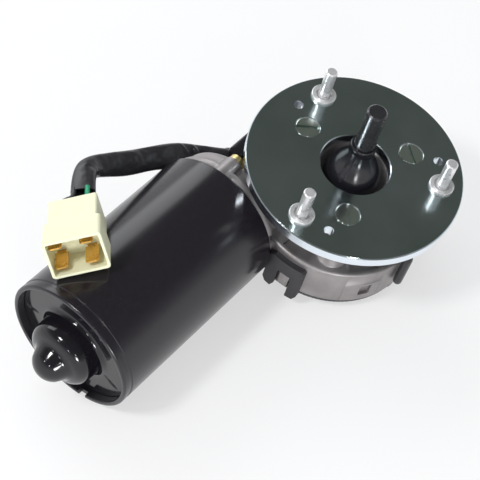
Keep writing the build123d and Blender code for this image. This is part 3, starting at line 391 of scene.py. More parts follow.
def finishes():
    """Every finish by the name of its slot, also put on the pieces that come from the frame."""
    made = {
        "zinc_plate": zinc_plate(),
        "zinc_stud": zinc_part("zinc_stud", (0.90, 0.90, 0.91), 0.3, 0.7),
        "zinc_screw": screw_zinc(),
        "yellow_zinc": zinc_part("yellow_zinc", (0.72, 0.58, 0.26), 0.3),
        "die_cast": die_cast(),
        "can_black": can_paint(),
        "end_black": end_paint(),
        "shaft_dark": shaft_black(),
        "boot_rubber": boot_rubber(),
        "cover_plastic": cover_plastic(),
        "connector_nylon": nylon(),
        "terminal_brass": brass(),
        "sleeve_pvc": sleeve_skin(),
        "wire_black": wire_skin("wire_black", (0.03, 0.03, 0.032)),
    }
    for name, (color, roughness, metallic) in INNER_FINISHES.items():
        made[name] = plain_inner(name, color, roughness, metallic)
    for row in frame["record"]["subparts"]:
        piece = nodes[row["node"]]
        piece.data.materials.clear()
        piece.data.materials.append(made[row["material_slot"]])
    return made


# --- Mesh helpers ------------------------------------------------------------------------------------

# Vertices nearer than this, in metres, are one
SAME_PLACE = 1e-7
# Stands for the axis in a turned profile, in millimetres
NEAR_AXIS = 0.001
# Cosine past which two sides of an outline count as one straight line
STRAIGHT = 0.9999
ROUND_SIDES = 192


def to_object(name, mesh, material, body, sharp_angle=35):
    """Link a mesh that is in metres, smooth it, and let it ride on its body."""
    piece = bpy.data.objects.new(name, mesh)
    shown.objects.link(piece)
    mesh.materials.append(material)
    mesh.shade_smooth()
    mesh.set_sharp_from_angle(angle=radians(sharp_angle))
    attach(piece, body)
    return piece


def bridge(built, one, two):
    """Faces between two loops of as many vertices."""
    for i in range(len(one)):
        j = (i + 1) % len(one)
        built.faces.new((one[i], one[j], two[j], two[i]))


def finished(built):
    """Mesh of a closed form, with its faces turned outwards."""
    bmesh.ops.recalc_face_normals(built, faces=built.faces)
    mesh = bpy.data.meshes.new("built")
    built.to_mesh(mesh)
    built.free()
    return mesh


def skin_rings(rings):
    """Closed mesh from rings of points in millimetres, each ring with the same count."""
    built = bmesh.new()
    loops = [[built.verts.new(Vector(point) * MM) for point in ring] for ring in rings]
    for first, second in zip(loops, loops[1:]):
        bridge(built, first, second)
    built.faces.new(list(reversed(loops[0])))
    built.faces.new(loops[-1])
    return finished(built)


def prism(outline, place, low, high):
    """Mesh of an outline (u, v) carried from depth low to depth high; place gives the point in space."""
    return skin_rings([[place(u, v, depth) for u, v in outline] for depth in (low, high)])


def turned(profile, about, first=0.0, last=360.0, sides=ROUND_SIDES):
    """Mesh of a closed profile (along, radius) swept round an axis, for a whole turn or a part of it."""
    whole = last - first >= 360
    count = sides if whole else max(3, round(sides * (last - first) / 360))
    built = bmesh.new()
    rings = []
    for step in range(count if whole else count + 1):
        turn = radians(first + (last - first) * step / count)
        rings.append([built.verts.new(about(along, radius, turn) * MM) for along, radius in profile])
    pairs = list(zip(rings, rings[1:]))
    if whole:
        pairs.append((rings[-1], rings[0]))
    else:
        built.faces.new(rings[0])
        built.faces.new(list(reversed(rings[-1])))
    for one, two in pairs:
        bridge(built, one, two)
    bmesh.ops.remove_doubles(built, verts=built.verts, dist=SAME_PLACE)
    return finished(built)


def solid_copy(node):
    """A closed copy of a CAD node's mesh, to be carved here."""
    built = bmesh.new()
    built.from_mesh(nodes[node].data)
    bmesh.ops.remove_doubles(built, verts=built.verts, dist=SAME_PLACE)
    mesh = bpy.data.meshes.new("copy")
    built.to_mesh(mesh)
    built.free()
    return mesh


def carved(mesh, operation, *tools):
    """The mesh after a Boolean operation with each tool mesh in turn."""
    for tool in tools:
        piece = bpy.data.objects.new("blank", mesh)
        cutter = bpy.data.objects.new("cutter", tool)
        shown.objects.link(piece)
        shown.objects.link(cutter)
        step = piece.modifiers.new("carve", "BOOLEAN")
        step.operation = operation
        step.solver = "EXACT"
        step.object = cutter
        bpy.context.view_layer.update()
        seen = piece.evaluated_get(bpy.context.evaluated_depsgraph_get())
        mesh = bpy.data.meshes.new_from_object(seen)
        bpy.data.objects.remove(piece)
        bpy.data.objects.remove(cutter)
    mesh.materials.clear()
    return mesh


# --- Outlines and places -----------------------------------------------------------------------------


def rounded(corners, steps=6):
    """Points of a closed outline whose corners (x, y, radius) are rounded."""
    found = []
    for index, (x, y, radius) in enumerate(corners):
        here = Vector((x, y))
        before = Vector(corners[index - 1][:2])
        after = Vector(corners[(index + 1) % len(corners)][:2])
        into, out = (before - here).normalized(), (after - here).normalized()
        if radius <= 0 or abs(into.dot(out)) > STRAIGHT:
            found.append(here)
            continue
        half = into.angle(out) / 2
        reach = radius / sin(half) * cos(half)
        centre = here + (into + out).normalized() * (radius / sin(half))
        start, end = here + into * reach - centre, here + out * reach - centre
        for step in range(steps + 1):
            found.append(centre + start.slerp(end, step / steps).normalized() * radius)
    return found


def bezier(ends, steps):
    """Points on the cubic curve of four (radius, z) points."""
    a, b, c, d = (Vector(point) for point in ends)
    found = []
    for step in range(steps + 1):
        t = step / steps
        found.append(a * (1 - t) ** 3 + b * 3 * t * (1 - t) ** 2 + c * 3 * t * t * (1 - t) + d * t**3)
    return found


def hoop(centre, side, lift, radius, count):
    """Ring of points about a centre, in the plane of two directions."""
    turns = [2 * pi * step / count for step in range(count)]
    return [centre + (side * cos(turn) + lift * sin(turn)) * radius for turn in turns]


def about_motor(x, radius, turn):
    return Vector((x, MOTOR_Y + radius * cos(turn), MOTOR_Z + radius * sin(turn)))


def about_output(z, radius, turn):
    return Vector((radius * cos(turn), radius * sin(turn), z))


def round_output(profile, first=0.0, last=360.0):
    """Mesh of a closed profile (radius, z) turned about the output axis."""
    return turned([(z, radius) for radius, z in profile], about_output, first, last)


def motor_directions(angle):
    """Outward and sideways from the motor axis, with the angle turned from +Z towards +Y."""
    turn = radians(angle)
    return Vector((0, sin(turn), cos(turn))), Vector((0, cos(turn), -sin(turn)))


def output_directions(angle):
    """Outward and sideways from the output axis, with the angle turned from +X towards +Y."""
    turn = radians(angle)
    return Vector((cos(turn), sin(turn), 0)), Vector((-sin(turn), cos(turn), 0))


def flat(x, y, z):
    return Vector((x, y, z))


def drum_side(angle):
    """Placing function whose u runs across, v up and depth outwards on the drum's side."""
    out, side = output_directions(angle)

    def place(across, up, depth):
        return out * depth + side * across + Vector((0, 0, up))

    return place


def sector(inner, outer, first, last, low, high, inset=0.0):
    """Part of a ring between two angles; inset holds its straight sides off radial lines."""
    outline = []
    for radius, start, end in ((inner, first, last), (outer, last, first)):
        trim = asin(inset / radius) * (1 if end > start else -1)
        begin, finish = radians(start) + trim, radians(end) - trim
        steps = max(4, round(abs(end - start) / 1.5))
        for step in range(steps + 1):
            turn = begin + (finish - begin) * step / steps
            outline.append((radius * cos(turn), radius * sin(turn)))
    return prism(outline, flat, low, high)


# --- End plate ---------------------------------------------------------------------------------------

END_PLATE_BACK, END_PLATE_X = -148.5, -150.5
END_PLATE_RADIUS = 32.95
END_PLATE_SIDES = 420
HUB_RADIUS = 17.8
NOSE_X, NOSE_RADIUS = -164.4, 10.2
NOSE_START = (-170.45, 8.2)
NOSE_STEPS = 14
# Rings of the flat face, close enough together to show the dents
FACE_START, FACE_STEP, FACE_RINGS = 32.2, 0.3, 32
DENTS = ((96, 27.4), (-109, 26.2))
DENT_LENGTH, DENT_WIDTH, DENT_DEPTH = 4.0, 1.2, 1.0


def press_dents(mesh):
    """Sink the two leaf-shaped dents into the flat of the end plate."""
    centre = Vector((END_PLATE_X, MOTOR_Y, MOTOR_Z))
    places = [(*motor_directions(angle), middle) for angle, middle in DENTS]
    for vertex in mesh.vertices:
        offset = vertex.co / MM - centre
        if abs(offset.x) > 0.01:
            continue
        for out, side, middle in places:
            reach, across = offset.dot(out) - middle, offset.dot(side)
            within = 1 - (reach / DENT_LENGTH) ** 2 - abs(across / DENT_WIDTH)
            if within > 0:
                vertex.co.x += DENT_DEPTH * within**0.6 * MM


def add_end_plate(made):
    """Pressed end plate: a stepped hub with a rounded nose, and two leaf-shaped dents beside it."""
    outside = rounded(
        [
            (END_PLATE_BACK, END_PLATE_RADIUS, 0),
            (END_PLATE_X, END_PLATE_RADIUS, 0.5),
            (END_PLATE_X, HUB_RADIUS, 3.2),
            (-163.2, 17.0, 6.0),
            (-165.2, 10.8, 4.6),
            (*NOSE_START, 0),
        ]
    )
    face = [(END_PLATE_X, FACE_START - FACE_STEP * ring) for ring in range(FACE_RINGS)]
    face_at = 1 + max(index for index, point in enumerate(outside) if point.y > FACE_START)
    start = atan2(NOSE_START[1], NOSE_X - NOSE_START[0])
    turns = [start * (1 - step / NOSE_STEPS) for step in range(1, NOSE_STEPS)]
    nose = [(NOSE_X - NOSE_RADIUS * cos(turn), NOSE_RADIUS * sin(turn)) for turn in turns]
    nose.append((NOSE_X - NOSE_RADIUS, NEAR_AXIS))
    inside = [(-172.4, NEAR_AXIS), (-169, 6.0), (-162, 9.5), (-162, 15.2), (-152.2, 17.0)]
    inside.append((END_PLATE_BACK, 19.5))
    profile = [*outside[:face_at], *face, *outside[face_at:], *nose, *inside]
    mesh = turned(profile, about_motor, sides=END_PLATE_SIDES)
    press_dents(mesh)
    piece = to_object("rear_end_plate_pressing", mesh, made["end_black"], "housing")
    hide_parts("rear_end_plate")


# --- Motor can ---------------------------------------------------------------------------------------

CAN_NEAR, CAN_FAR = -155.0, -48.0
CAN_SIDES = 256
CAN_BORE_RADIUS = 33.0
CAN_MOUTH_RADIUS = 26.1
CAN_END_INSIDE = -50.5
CRIMP_DEPTH = 0.4
RIM_ROUND = 1.2
NOTCH_ANGLE = -159
NOTCH_HALF_WIDTH = 2.5
NOTCH_DEPTH = 2.5


def add_can(made):
    """Drawn can with a rolled rim, the groove of its crimp beside the rim, and a notch in the rim."""
    profile = rounded(
        [
            (CAN_NEAR, CAN_BORE_RADIUS, 0.7),
            (CAN_NEAR, CAN_RADIUS, RIM_ROUND),
            (-152.0, CAN_RADIUS, 0),
            (-151.6, CAN_RADIUS - CRIMP_DEPTH, 0),
            (-149.9, CAN_RADIUS - CRIMP_DEPTH, 0),
            (-149.5, CAN_RADIUS, 0),
            (CAN_FAR, CAN_RADIUS, RIM_ROUND),
            (CAN_FAR, CAN_MOUTH_RADIUS, 0),
            (CAN_END_INSIDE, CAN_MOUTH_RADIUS, 0),
            (CAN_END_INSIDE, CAN_BORE_RADIUS, 0),
        ]
    )
    out, side = motor_directions(NOTCH_ANGLE)

    def notch_place(u, v, depth):
        return Vector((depth, MOTOR_Y, MOTOR_Z)) + out * u + side * v

    inner, outer, half = 30, 40, NOTCH_HALF_WIDTH
    plan = [(inner, -half), (outer, -half), (outer, half), (inner, half)]
    notch = prism(plan, notch_place, CAN_NEAR - 1, CAN_NEAR + NOTCH_DEPTH)
    mesh = carved(turned(profile, about_motor, sides=CAN_SIDES), "DIFFERENCE", notch)
    piece = to_object("motor_can_shell", mesh, made["can_black"], "housing")
    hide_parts("motor_can")


# --- Shaft boot --------------------------------------------------------------------------------------

BOOT_SEAT = -9.2
BOOT_FOOT_RADIUS, BOOT_FOOT_BORE = 14.5, 11.6
BOOT_NECK_BORE = 5.25
BOOT_TOP = 17.0


def add_boot(made):
    """Bell-shaped rubber boot on a round seat inside the plate's hole, with a lip round the shaft."""
    profile = [
        (BOOT_FOOT_RADIUS, BOOT_SEAT),
        (BOOT_FOOT_RADIUS, -8.4),
        *bezier([(14.3, -7.8), (13.0, 1.0), (8.0, 3.0), (6.35, 12)], 28),
        (6.3, 14.5),
        (6.55, 15.2),
        (6.5, 16.2),
        (6.15, BOOT_TOP),
        (BOOT_NECK_BORE, BOOT_TOP),
        (BOOT_NECK_BORE, 9.0),
        *bezier([(BOOT_NECK_BORE, 9.0), (6.4, 2.5), (10.8, -0.5), (BOOT_FOOT_BORE, -7.8)], 16)[1:],
        (BOOT_FOOT_BORE, BOOT_SEAT),
    ]
    mesh = round_output(profile)
    piece = to_object("shaft_boot_rubber", mesh, made["boot_rubber"], "housing", 40)
    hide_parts("shaft_boot")


# --- Gear housing ------------------------------------------------------------------------------------

# The part of the drum's top that is clear of the worm tunnel, in degrees
ROOF_FIRST, ROOF_LAST = -199, 19
ROOF_INNER, ROOF_OUTER = 16.0, 46.5
DRUM_TOP = -32.2
DRUM_BOTTOM = -56.0
ABOVE_DRUM = -29.0
POCKET_INNER, POCKET_OUTER = 22.5, 41.9
POCKET_FLOOR, POCKET_TOP = -33.7, -30.5
ROOF_RIB_ANGLES = [-162.5 + 25 * rib for rib in range(7)]
ROOF_RIB_WIDTH = 2.8
PILLAR_ANGLES = (210, 330)
PILLAR_REACH = 33
PILLAR_HALF_WIDTH, PILLAR_CLEARANCE = 8.3, 0.2
PILLAR_TOOL_LOW, PILLAR_TOOL_HIGH = -40, -20
PILLAR_STEPS = 24
# Cut that rounds the outer edge of the drum's top into a bead, as (radius, z)
BEAD_CUT = [
    (42.9, -30),
    (42.9, DRUM_TOP),
    (43.5, -32.32),
    (44.03, -32.67),
    (44.38, -33.2),
    (44.5, -33.8),
    (46, -33.8),
    (46, -30),
]
# Space above the boot's seat, as (radius, z)
SEAT_CUT = [(NEAR_AXIS, BOOT_SEAT), (17.4, BOOT_SEAT), (17.4, -5.8), (NEAR_AXIS, -5.8)]
# Plain wall put back where the solids have a slot in the drum's side
PATCH_RADII, PATCH_ANGLES, PATCH_TOP = (42.0, 44.53), (-136, -110), -42.0
SIDE_POCKET_ANGLE = -120.5
SIDE_POCKET_RADII = (43.0, 47.0)
SIDE_POCKET = [(-3.2, -51.6, 0.6), (3.2, -51.6, 0.6), (3.2, -43.6, 0.6), (-3.2, -43.6, 0.6)]
CLIP_ANGLES = (184.3, 4.3)
LUG_RADII, LUG_TOP = (43.5, 46.3), -46.0
LUG_FIRST, LUG_LAST = -3.2, 5.0


def pillar(angle, half_width):
    """The round-ended plan of a pillar, as a tool."""
    out, side = output_directions(angle)
    outline = [side * -half_width, out * PILLAR_REACH + side * -half_width]
    for step in range(1, PILLAR_STEPS):
        bend = -pi / 2 + pi * step / PILLAR_STEPS
        outline.append(out * (PILLAR_REACH + half_width * cos(bend)) + side * half_width * sin(bend))
    outline += [out * PILLAR_REACH + side * half_width, side * half_width]
    return prism([point.xy for point in outline], flat, PILLAR_TOOL_LOW, PILLAR_TOOL_HIGH)


def roof_pockets():
    """Tools for the pockets between the roof's ribs, clear of the pillars."""
    spans = list(zip(ROOF_RIB_ANGLES[1:5], ROOF_RIB_ANGLES[2:6])) + [(-188, -162.5), (-12.5, 10)]
    tools = []
    for first, last in spans:
        tool = sector(POCKET_INNER, POCKET_OUTER, first, last, POCKET_FLOOR, POCKET_TOP, ROOF_RIB_WIDTH / 2)
        clear = [pillar(angle, PILLAR_HALF_WIDTH + PILLAR_CLEARANCE) for angle in PILLAR_ANGLES]
        tools.append(carved(tool, "DIFFERENCE", *clear))
    return tools


def add_housing(made):
    """The casting, with its drum's top lowered inside a beaded rim, ribbed pockets and the boot's seat."""
    top = sector(ROOF_INNER, ROOF_OUTER, ROOF_FIRST, ROOF_LAST, DRUM_TOP, ABOVE_DRUM)
    top = carved(top, "DIFFERENCE", *(pillar(angle, PILLAR_HALF_WIDTH) for angle in PILLAR_ANGLES))
    bead = round_output(BEAD_CUT, ROOF_FIRST, ROOF_LAST)
    seat = round_output(SEAT_CUT)
    side_pocket = prism(rounded(SIDE_POCKET), drum_side(SIDE_POCKET_ANGLE), *SIDE_POCKET_RADII)
    patch = sector(*PATCH_RADII, *PATCH_ANGLES, DRUM_BOTTOM, PATCH_TOP)
    lugs = []
    for angle in CLIP_ANGLES:
        lugs.append(sector(*LUG_RADII, angle + LUG_FIRST, angle + LUG_LAST, DRUM_BOTTOM, LUG_TOP))
    mesh = carved(solid_copy("gear_housing"), "UNION", patch, *lugs)
    mesh = carved(mesh, "DIFFERENCE", top, bead, *roof_pockets(), seat, side_pocket)
    piece = to_object("gear_housing_casting", mesh, made["die_cast"], "housing")
    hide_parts("gear_housing")


# --- Cover and its latches ---------------------------------------------------------------------------

LATCH_OUTLINE = [
    (-10.2, -38.5, 0.5),
    (-7.5, -36.0, 0.6),
    (9.0, -36.0, 0.6),
    (10.3, -37.6, 0.5),
    (10.3, -58.0, 0.5),
    (8.7, -61.4, 0.6),
    (4.6, -61.4, 0.5),
    (4.6, -45.2, 0.6),
    (-3.1, -45.2, 0.6),
    (-3.2, -57.5, 0.4),
    (-4.8, -61.2, 0.5),
    (-8.2, -61.2, 0.5),
    (-10.2, -58.5, 0.5),
]
# Wall that the latches are cut from, as (radius, z)
LATCH_WALL = [(44.7, -30), (47.6, -30), (47.6, -63), (42.8, -63), (42.8, -57.3), (44.7, -57.3)]
LATCH_HALF_TURN = 20
LATCH_RADII = (40.0, 50.0)
# Space in which the solids' plain clips are cut away, to make room for the latches
CLIP_RADII, CLIP_HALF_TURN, CLIP_TOP = (43.9, 49.0), 16, -30.0
BELOW_COVER = -64.0
# Tongue of the solids' cover, which gives way to the breather
TONGUE_ANGLE = -93
# Outline of what is cut off the cover's wing, past the outlet
WING_CUT = [(-20, 63.5), (12, 63.5), (12, 80), (-20, 80)]
ABOVE_WING = -50.0


def add_cover(made):
    """The bottom cover with its two latches, each a loop over a lug on the drum."""
    tools = []
    for angle in (*CLIP_ANGLES, TONGUE_ANGLE):
        first, last = angle - CLIP_HALF_TURN, angle + CLIP_HALF_TURN
        tools.append(sector(*CLIP_RADII, first, last, BELOW_COVER, CLIP_TOP))
    tools.append(prism(WING_CUT, flat, BELOW_COVER, ABOVE_WING))
    mesh = carved(solid_copy("gear_cover"), "DIFFERENCE", *tools)
    piece = to_object("gear_cover_pan", mesh, made["cover_plastic"], "housing")
    for number, angle in enumerate(CLIP_ANGLES, 1):
        loop = prism(rounded(LATCH_OUTLINE), drum_side(angle), *LATCH_RADII)
        wall = round_output(LATCH_WALL, angle - LATCH_HALF_TURN, angle + LATCH_HALF_TURN)
        latch = carved(loop, "INTERSECT", wall)
        to_object(f"cover_latch_{number}", latch, made["cover_plastic"], "housing")
    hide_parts("gear_cover")


# --- Breather, outlet and screws ---------------------------------------------------------------------

BREATHER_ANGLE = -97.5
BREATHER_RADIUS = 2.4
BREATHER_BEND = 6.3
BREATHER_ROOT, BREATHER_DROP = 34.7, 47.3
BREATHER_BEND_Z, BREATHER_END_Z = -27.6, -46.2
BREATHER_SIDES = 32


def add_breather(made):
    """Black elbow of tube that hooks over the drum's rim and hangs beside it with a rounded end."""
    out, side = output_directions(BREATHER_ANGLE)
    path = [(BREATHER_ROOT, z) for z in (-33.6, -31.5, -29.5)]
    for step in range(25):
        bend = pi * step / 24
        middle = BREATHER_ROOT + BREATHER_BEND
        path.append((middle - BREATHER_BEND * cos(bend), BREATHER_BEND_Z + BREATHER_BEND * sin(bend)))
    path += [(BREATHER_DROP, z) for z in (-32, -36, -40, -44)]
    sizes = [BREATHER_RADIUS] * len(path)
    for step in range(1, 9):
        bend = pi / 2 * step / 8
        path.append((BREATHER_DROP, BREATHER_END_Z - BREATHER_RADIUS * sin(bend)))
        sizes.append(max(0.02, BREATHER_RADIUS * cos(bend)))
    rings = []
    for index, ((reach, z), size) in enumerate(zip(path, sizes)):
        before, after = path[max(0, index - 1)], path[min(len(path) - 1, index + 1)]
        heading = (out * (after[0] - before[0]) + Vector((0, 0, after[1] - before[1]))).normalized()
        centre = out * reach + Vector((0, 0, z))
        rings.append(hoop(centre, side, side.cross(heading), size, BREATHER_SIDES))
    to_object("breather_elbow", skin_rings(rings), made["boot_rubber"], "housing")


OUTLET_X, OUTLET_Y = -5.0, 58.2
# Length, width, bottom, top and rounded edge of the foot and of the block on it
OUTLET_BLOCKS = [(23.0, 9.0, -57.2, -55.4, 0.4), (21.0, 7.9, -55.8, -35.9, 1.1)]
OUTLET_CORNER = 2.0
# Distance along the sleeve and radius of the spout's rings
SPOUT_RINGS = [(-6.0, 5.4), (0.0, 5.4), (0.9, 5.0), (0.9, 4.0)]
SPOUT_SIDES = 48


def outlet_block(length, width, low, high, edge):
    """Upright block with round corners and a softened top."""
    rings = []
    for z, inset in ((low, 0), (high - edge, 0), (high - edge * 0.3, edge * 0.3), (high, edge)):
        x, y = length / 2 - inset, width / 2 - inset
        corners = [(u, v, OUTLET_CORNER) for u, v in ((-x, -y), (x, -y), (x, y), (-x, y))]
        rings.append([(u + OUTLET_X, v + OUTLET_Y, z) for u, v in rounded(corners)])
    return skin_rings(rings)


def add_outlet(made):
    """Moulded outlet of the harness, which stands on the cover's wing beside the worm tunnel."""
    foot, block = (outlet_block(*sizes) for sizes in OUTLET_BLOCKS)
    start = Vector(SLEEVE_ROUTE[0])
    heading = (Vector(SLEEVE_ROUTE[1]) - start).normalized()
    side = heading.orthogonal().normalized()
    lift = heading.cross(side)
    rings = [hoop(start + heading * reach, side, lift, radius, SPOUT_SIDES) for reach, radius in SPOUT_RINGS]
    mesh = carved(foot, "UNION", block, skin_rings(rings))
    piece = to_object("cable_outlet", mesh, made["boot_rubber"], "housing")
    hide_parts("cable_grommet")


SCREW_CIRCLE = 30.7
# Turn of each slot, by the place of its screw on the circle
SCREW_SLOT_ANGLES = {90: -50, 210: 37, 330: 54}
SCREW_SIDES = 96
SCREW_LENGTH = 18.0
SCREW_SHANK_RADIUS = 3.0
# Half of the screw's outline, as (z, radius)
SCREW_PROFILE = [
    (0.0, NEAR_AXIS),
    (0.0, 5.75),
    (-0.1, 6.0),
    (-0.45, 6.28),
    (-3.3, SCREW_SHANK_RADIUS),
    (-SCREW_LENGTH, SCREW_SHANK_RADIUS),
    (-SCREW_LENGTH, NEAR_AXIS),
]
# Slot's section, wider at the mouth, as (across, z)
SLOT_SECTION = [(-0.95, 1), (-0.75, -0.12), (-0.6, -1.5), (0.6, -1.5), (0.75, -0.12), (0.95, 1)]
SLOT_REACH = 9


def add_screws(made):
    """Three slotted countersunk screws with a broken edge round the head."""
    for number, (angle, slot_angle) in enumerate(SCREW_SLOT_ANGLES.items(), 1):
        middle = output_directions(angle)[0] * SCREW_CIRCLE
        ahead, beside = output_directions(slot_angle)

        def about_screw(z, radius, spin):
            return middle + Vector((radius * cos(spin), radius * sin(spin), z))

        def slot_place(across, z, depth):
            return middle + ahead * depth + beside * across + Vector((0, 0, z))

        slot = prism(SLOT_SECTION, slot_place, -SLOT_REACH, SLOT_REACH)
        screw = carved(turned(SCREW_PROFILE, about_screw, sides=SCREW_SIDES), "DIFFERENCE", slot)
        piece = to_object(f"plate_screw_{number}", screw, made["zinc_screw"], "housing", 20)
        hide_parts("plate_screws")


# --- Harness -----------------------------------------------------------------------------------------

SLEEVE_RINGS = 240
SLEEVE_SIDES = 48
SLEEVE_WALL = 0.75
SLEEVE_HOLLOW = 5.0
# Share of the sleeve's length past which it is fuller, after its fold
SLEEVE_FOLD = 0.80
# The outlet holds this share of the sleeve round
OUTLET_SHARE = 0.12
# Wrinkles across the sleeve: share of its length, slant, half-width as a share, height in millimetres
SLEEVE_WRINKLES = [
    (0.10, 0.03, 0.020, 0.7),
    (0.17, -0.04, 0.010, 0.9),
    (0.235, -0.05, 0.008, 1.1),
    (0.30, 0.02, 0.016, 0.6),
    (0.40, 0.05, 0.030, 0.5),
    (0.55, -0.05, 0.040, 0.5),
    (0.70, 0.04, 0.030, 0.4),
]
WIRE_NAMES = ("wire_black", "wire_blue", "wire_brown", "wire_green")
WIRE_GREEN = (0.01, 0.36, 0.17)


def route_line(points, radius_mm=0.0):
    """A NURBS curve in metres whose control points are the route's points in millimetres."""
    data = bpy.data.curves.new("route", "CURVE")
    data.dimensions = "3D"
    data.resolution_u = 12
    data.bevel_depth = radius_mm * MM
    data.bevel_resolution = 5
    data.use_fill_caps = True
    spline = data.splines.new("NURBS")
    spline.points.add(len(points) - 1)
    for control, point in zip(spline.points, points):
        control.co = (*(Vector(point) * MM), 1)
    spline.order_u = 3
    spline.use_endpoint_u = True
    return data


def line_points(points):
    """Points along the route's smooth line, in metres."""
    probe = bpy.data.objects.new("probe", route_line(points))
    shown.objects.link(probe)
    mesh = bpy.data.meshes.new_from_object(probe)
    found = [vertex.co.copy() for vertex in mesh.vertices]
    bpy.data.objects.remove(probe)
    bpy.data.meshes.remove(mesh)
    return found


def line_length(points):
    return sum((b - a).length for a, b in zip(points, points[1:]))


def stations_on(points, count):
    """Evenly spaced places and directions on a line of points."""
    lengths = [0.0]
    for a, b in zip(points, points[1:]):
        lengths.append(lengths[-1] + (b - a).length)
    found = []
    index = 0
    for step in range(count):
        wanted = lengths[-1] * step / (count - 1)
        while index < len(points) - 2 and lengths[index + 1] < wanted:
            index += 1
        share = (wanted - lengths[index]) / (lengths[index + 1] - lengths[index])
        heading = (points[index + 1] - points[index]).normalized()
        found.append((points[index].lerp(points[index + 1], share), heading))
    return found


def sleeve_section(share):
    """Width and thickness of the flattened sleeve, in millimetres."""
    held = max(0, 1 - share / OUTLET_SHARE)
    folded = 1 / (1 + exp(-(share - SLEEVE_FOLD) / 0.006))
    wide = 11.6 + 1.2 * sin(pi * min(1, share * 1.4)) - 0.5 * sin(share * 17) - 1.8 * held
    thick = 5.6 + 1.3 * folded + 0.5 * sin(share * 23 + 1) + 2.4 * held
    return wide, thick


def sleeve_lift(share, turn, x, y):
    """Height of the wrinkles and soft dents on the sleeve's upper side, in millimetres."""
    place = Vector((share * 9, cos(turn) * 1.1, sin(turn) * 1.1))
    soft = noise.noise(place * 1.3) * 0.5 + noise.noise(place * 3.7 + Vector((5, 3, 1))) * 0.25
    wrinkled = sum(
        height * exp(-(((share - at - slant * x) / half) ** 2)) for at, slant, half, height in SLEEVE_WRINKLES
    )
    return (wrinkled + soft) * max(0.0, y) * min(1, 10 * share, 8 * (1 - share))


def squared(value, power):
    """Sine or cosine bent towards a squarer curve by a power below 1."""
    return abs(value) ** power * (1 if value > 0 else -1)


def add_sleeve(made):
    """Soft PVC sleeve: flattened, creased where it bends, with a cut end that shows its wall."""
    line = line_points(SLEEVE_ROUTE)
    stations = stations_on(line, SLEEVE_RINGS)
    look = (CAMERA_TARGET - CAMERA_PLACE).normalized()
    rings = []
    for index, (centre, heading) in enumerate(stations):
        share = index / (SLEEVE_RINGS - 1)
        side = heading.cross(look).normalized()
        front = side.cross(heading).normalized()
        if front.dot(look) > 0:
            front = -front
        wide, thick = sleeve_section(share)
        ring = []
        for step in range(SLEEVE_SIDES):
            turn = 2 * pi * step / SLEEVE_SIDES
            x, y = squared(cos(turn), 0.9), squared(sin(turn), 0.8)
            lift = sleeve_lift(share, turn, x, y)
            ring.append(centre / MM + side * x * wide / 2 + front * (y * thick / 2 + lift))
        rings.append(ring)
    rings.extend(end_hollow(rings[-1], stations[-1][1]))
    skin = skin_rings(rings)
    sleeve = to_object("harness_sleeve_skin", skin, made["sleeve_pvc"], "housing", 60)
    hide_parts("harness_sleeve")
    return sleeve, line


def end_hollow(ring, heading):
    """Rings for the cut end of the sleeve: the wall's edge, then the inside."""
    middle = sum(ring, Vector()) / len(ring)
    inner = [point + (middle - point).normalized() * SLEEVE_WALL for point in ring]
    return [inner, [point - heading * SLEEVE_HOLLOW for point in inner]]


def add_wires(made):
    """Four insulated wires from the sleeve's end into the connector, of which one is green."""
    rearward = CONNECTOR_UP.cross(CONNECTOR_ACROSS).normalized()
    across_dir = (CONNECTOR_ACROSS - CONNECTOR_UP * CONNECTOR_ACROSS.dot(CONNECTOR_UP)).normalized()
    leave_dir = (Vector(SLEEVE_ROUTE[-1]) - Vector(SLEEVE_ROUTE[-2])).normalized()
    side = (across_dir - leave_dir * across_dir.dot(leave_dir)).normalized()
    lift = side.cross(leave_dir).normalized()
    if lift.dot(CONNECTOR_UP) < 0:
        lift = -lift
    wires = []
    for (across, up), name in zip(TERMINAL_PLACES, WIRE_NAMES):
        leaves = Vector(SLEEVE_ROUTE[-1]) + side * across * 0.45 + lift * up * 0.40
        enters = CONNECTOR_REAR + across_dir * across + CONNECTOR_UP * up - rearward * REAR_POCKET_DEPTH
        points = [
            leaves - leave_dir * 1.5,
            leaves + leave_dir * 4,
            leaves.lerp(enters, 0.5) + lift * 0.8 * (1 if up > 0 else -1),
            enters + rearward * 4,
            enters,
        ]
        data = route_line(points, WIRE_DIAMETER / 2)
        wire = bpy.data.objects.new(name, data)
        shown.objects.link(wire)
        data.materials.append(wire_skin(name, WIRE_GREEN) if name == "wire_green" else made["wire_black"])
        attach(wire, "housing")
        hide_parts("harness_wires")
        wires.append(wire)
    return wires


def add_harness(made):
    sleeve, line = add_sleeve(made)
    wires = add_wires(made)
    tuple(line[0])
    line_length(line)
    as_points(line)


# --- Studio ------------------------------------------------------------------------------------------

WHITE = (1, 1, 1, 1)
# Share of plain white that the camera and reflections see in the floor
FLOOR_GLOW = 0.55
FLOOR_REACH = 6.0
FLOOR_GAP = 0.2
ROOM_LIGHT = (0.55, 0.56, 0.58, 1)
# What reflections see from straight down to straight up
ROOM_STOPS = [
    (0.0, (1.0, 1.0, 1.0)),
    (0.54, (0.95, 0.96, 0.98)),
    (0.64, (0.45, 0.46, 0.48)),
    (0.76, (0.125, 0.13, 0.12)),
    (1.0, (0.11, 0.115, 0.10)),
]
LAMP_TARGET = Vector((-0.05, 0.02, -0.03))
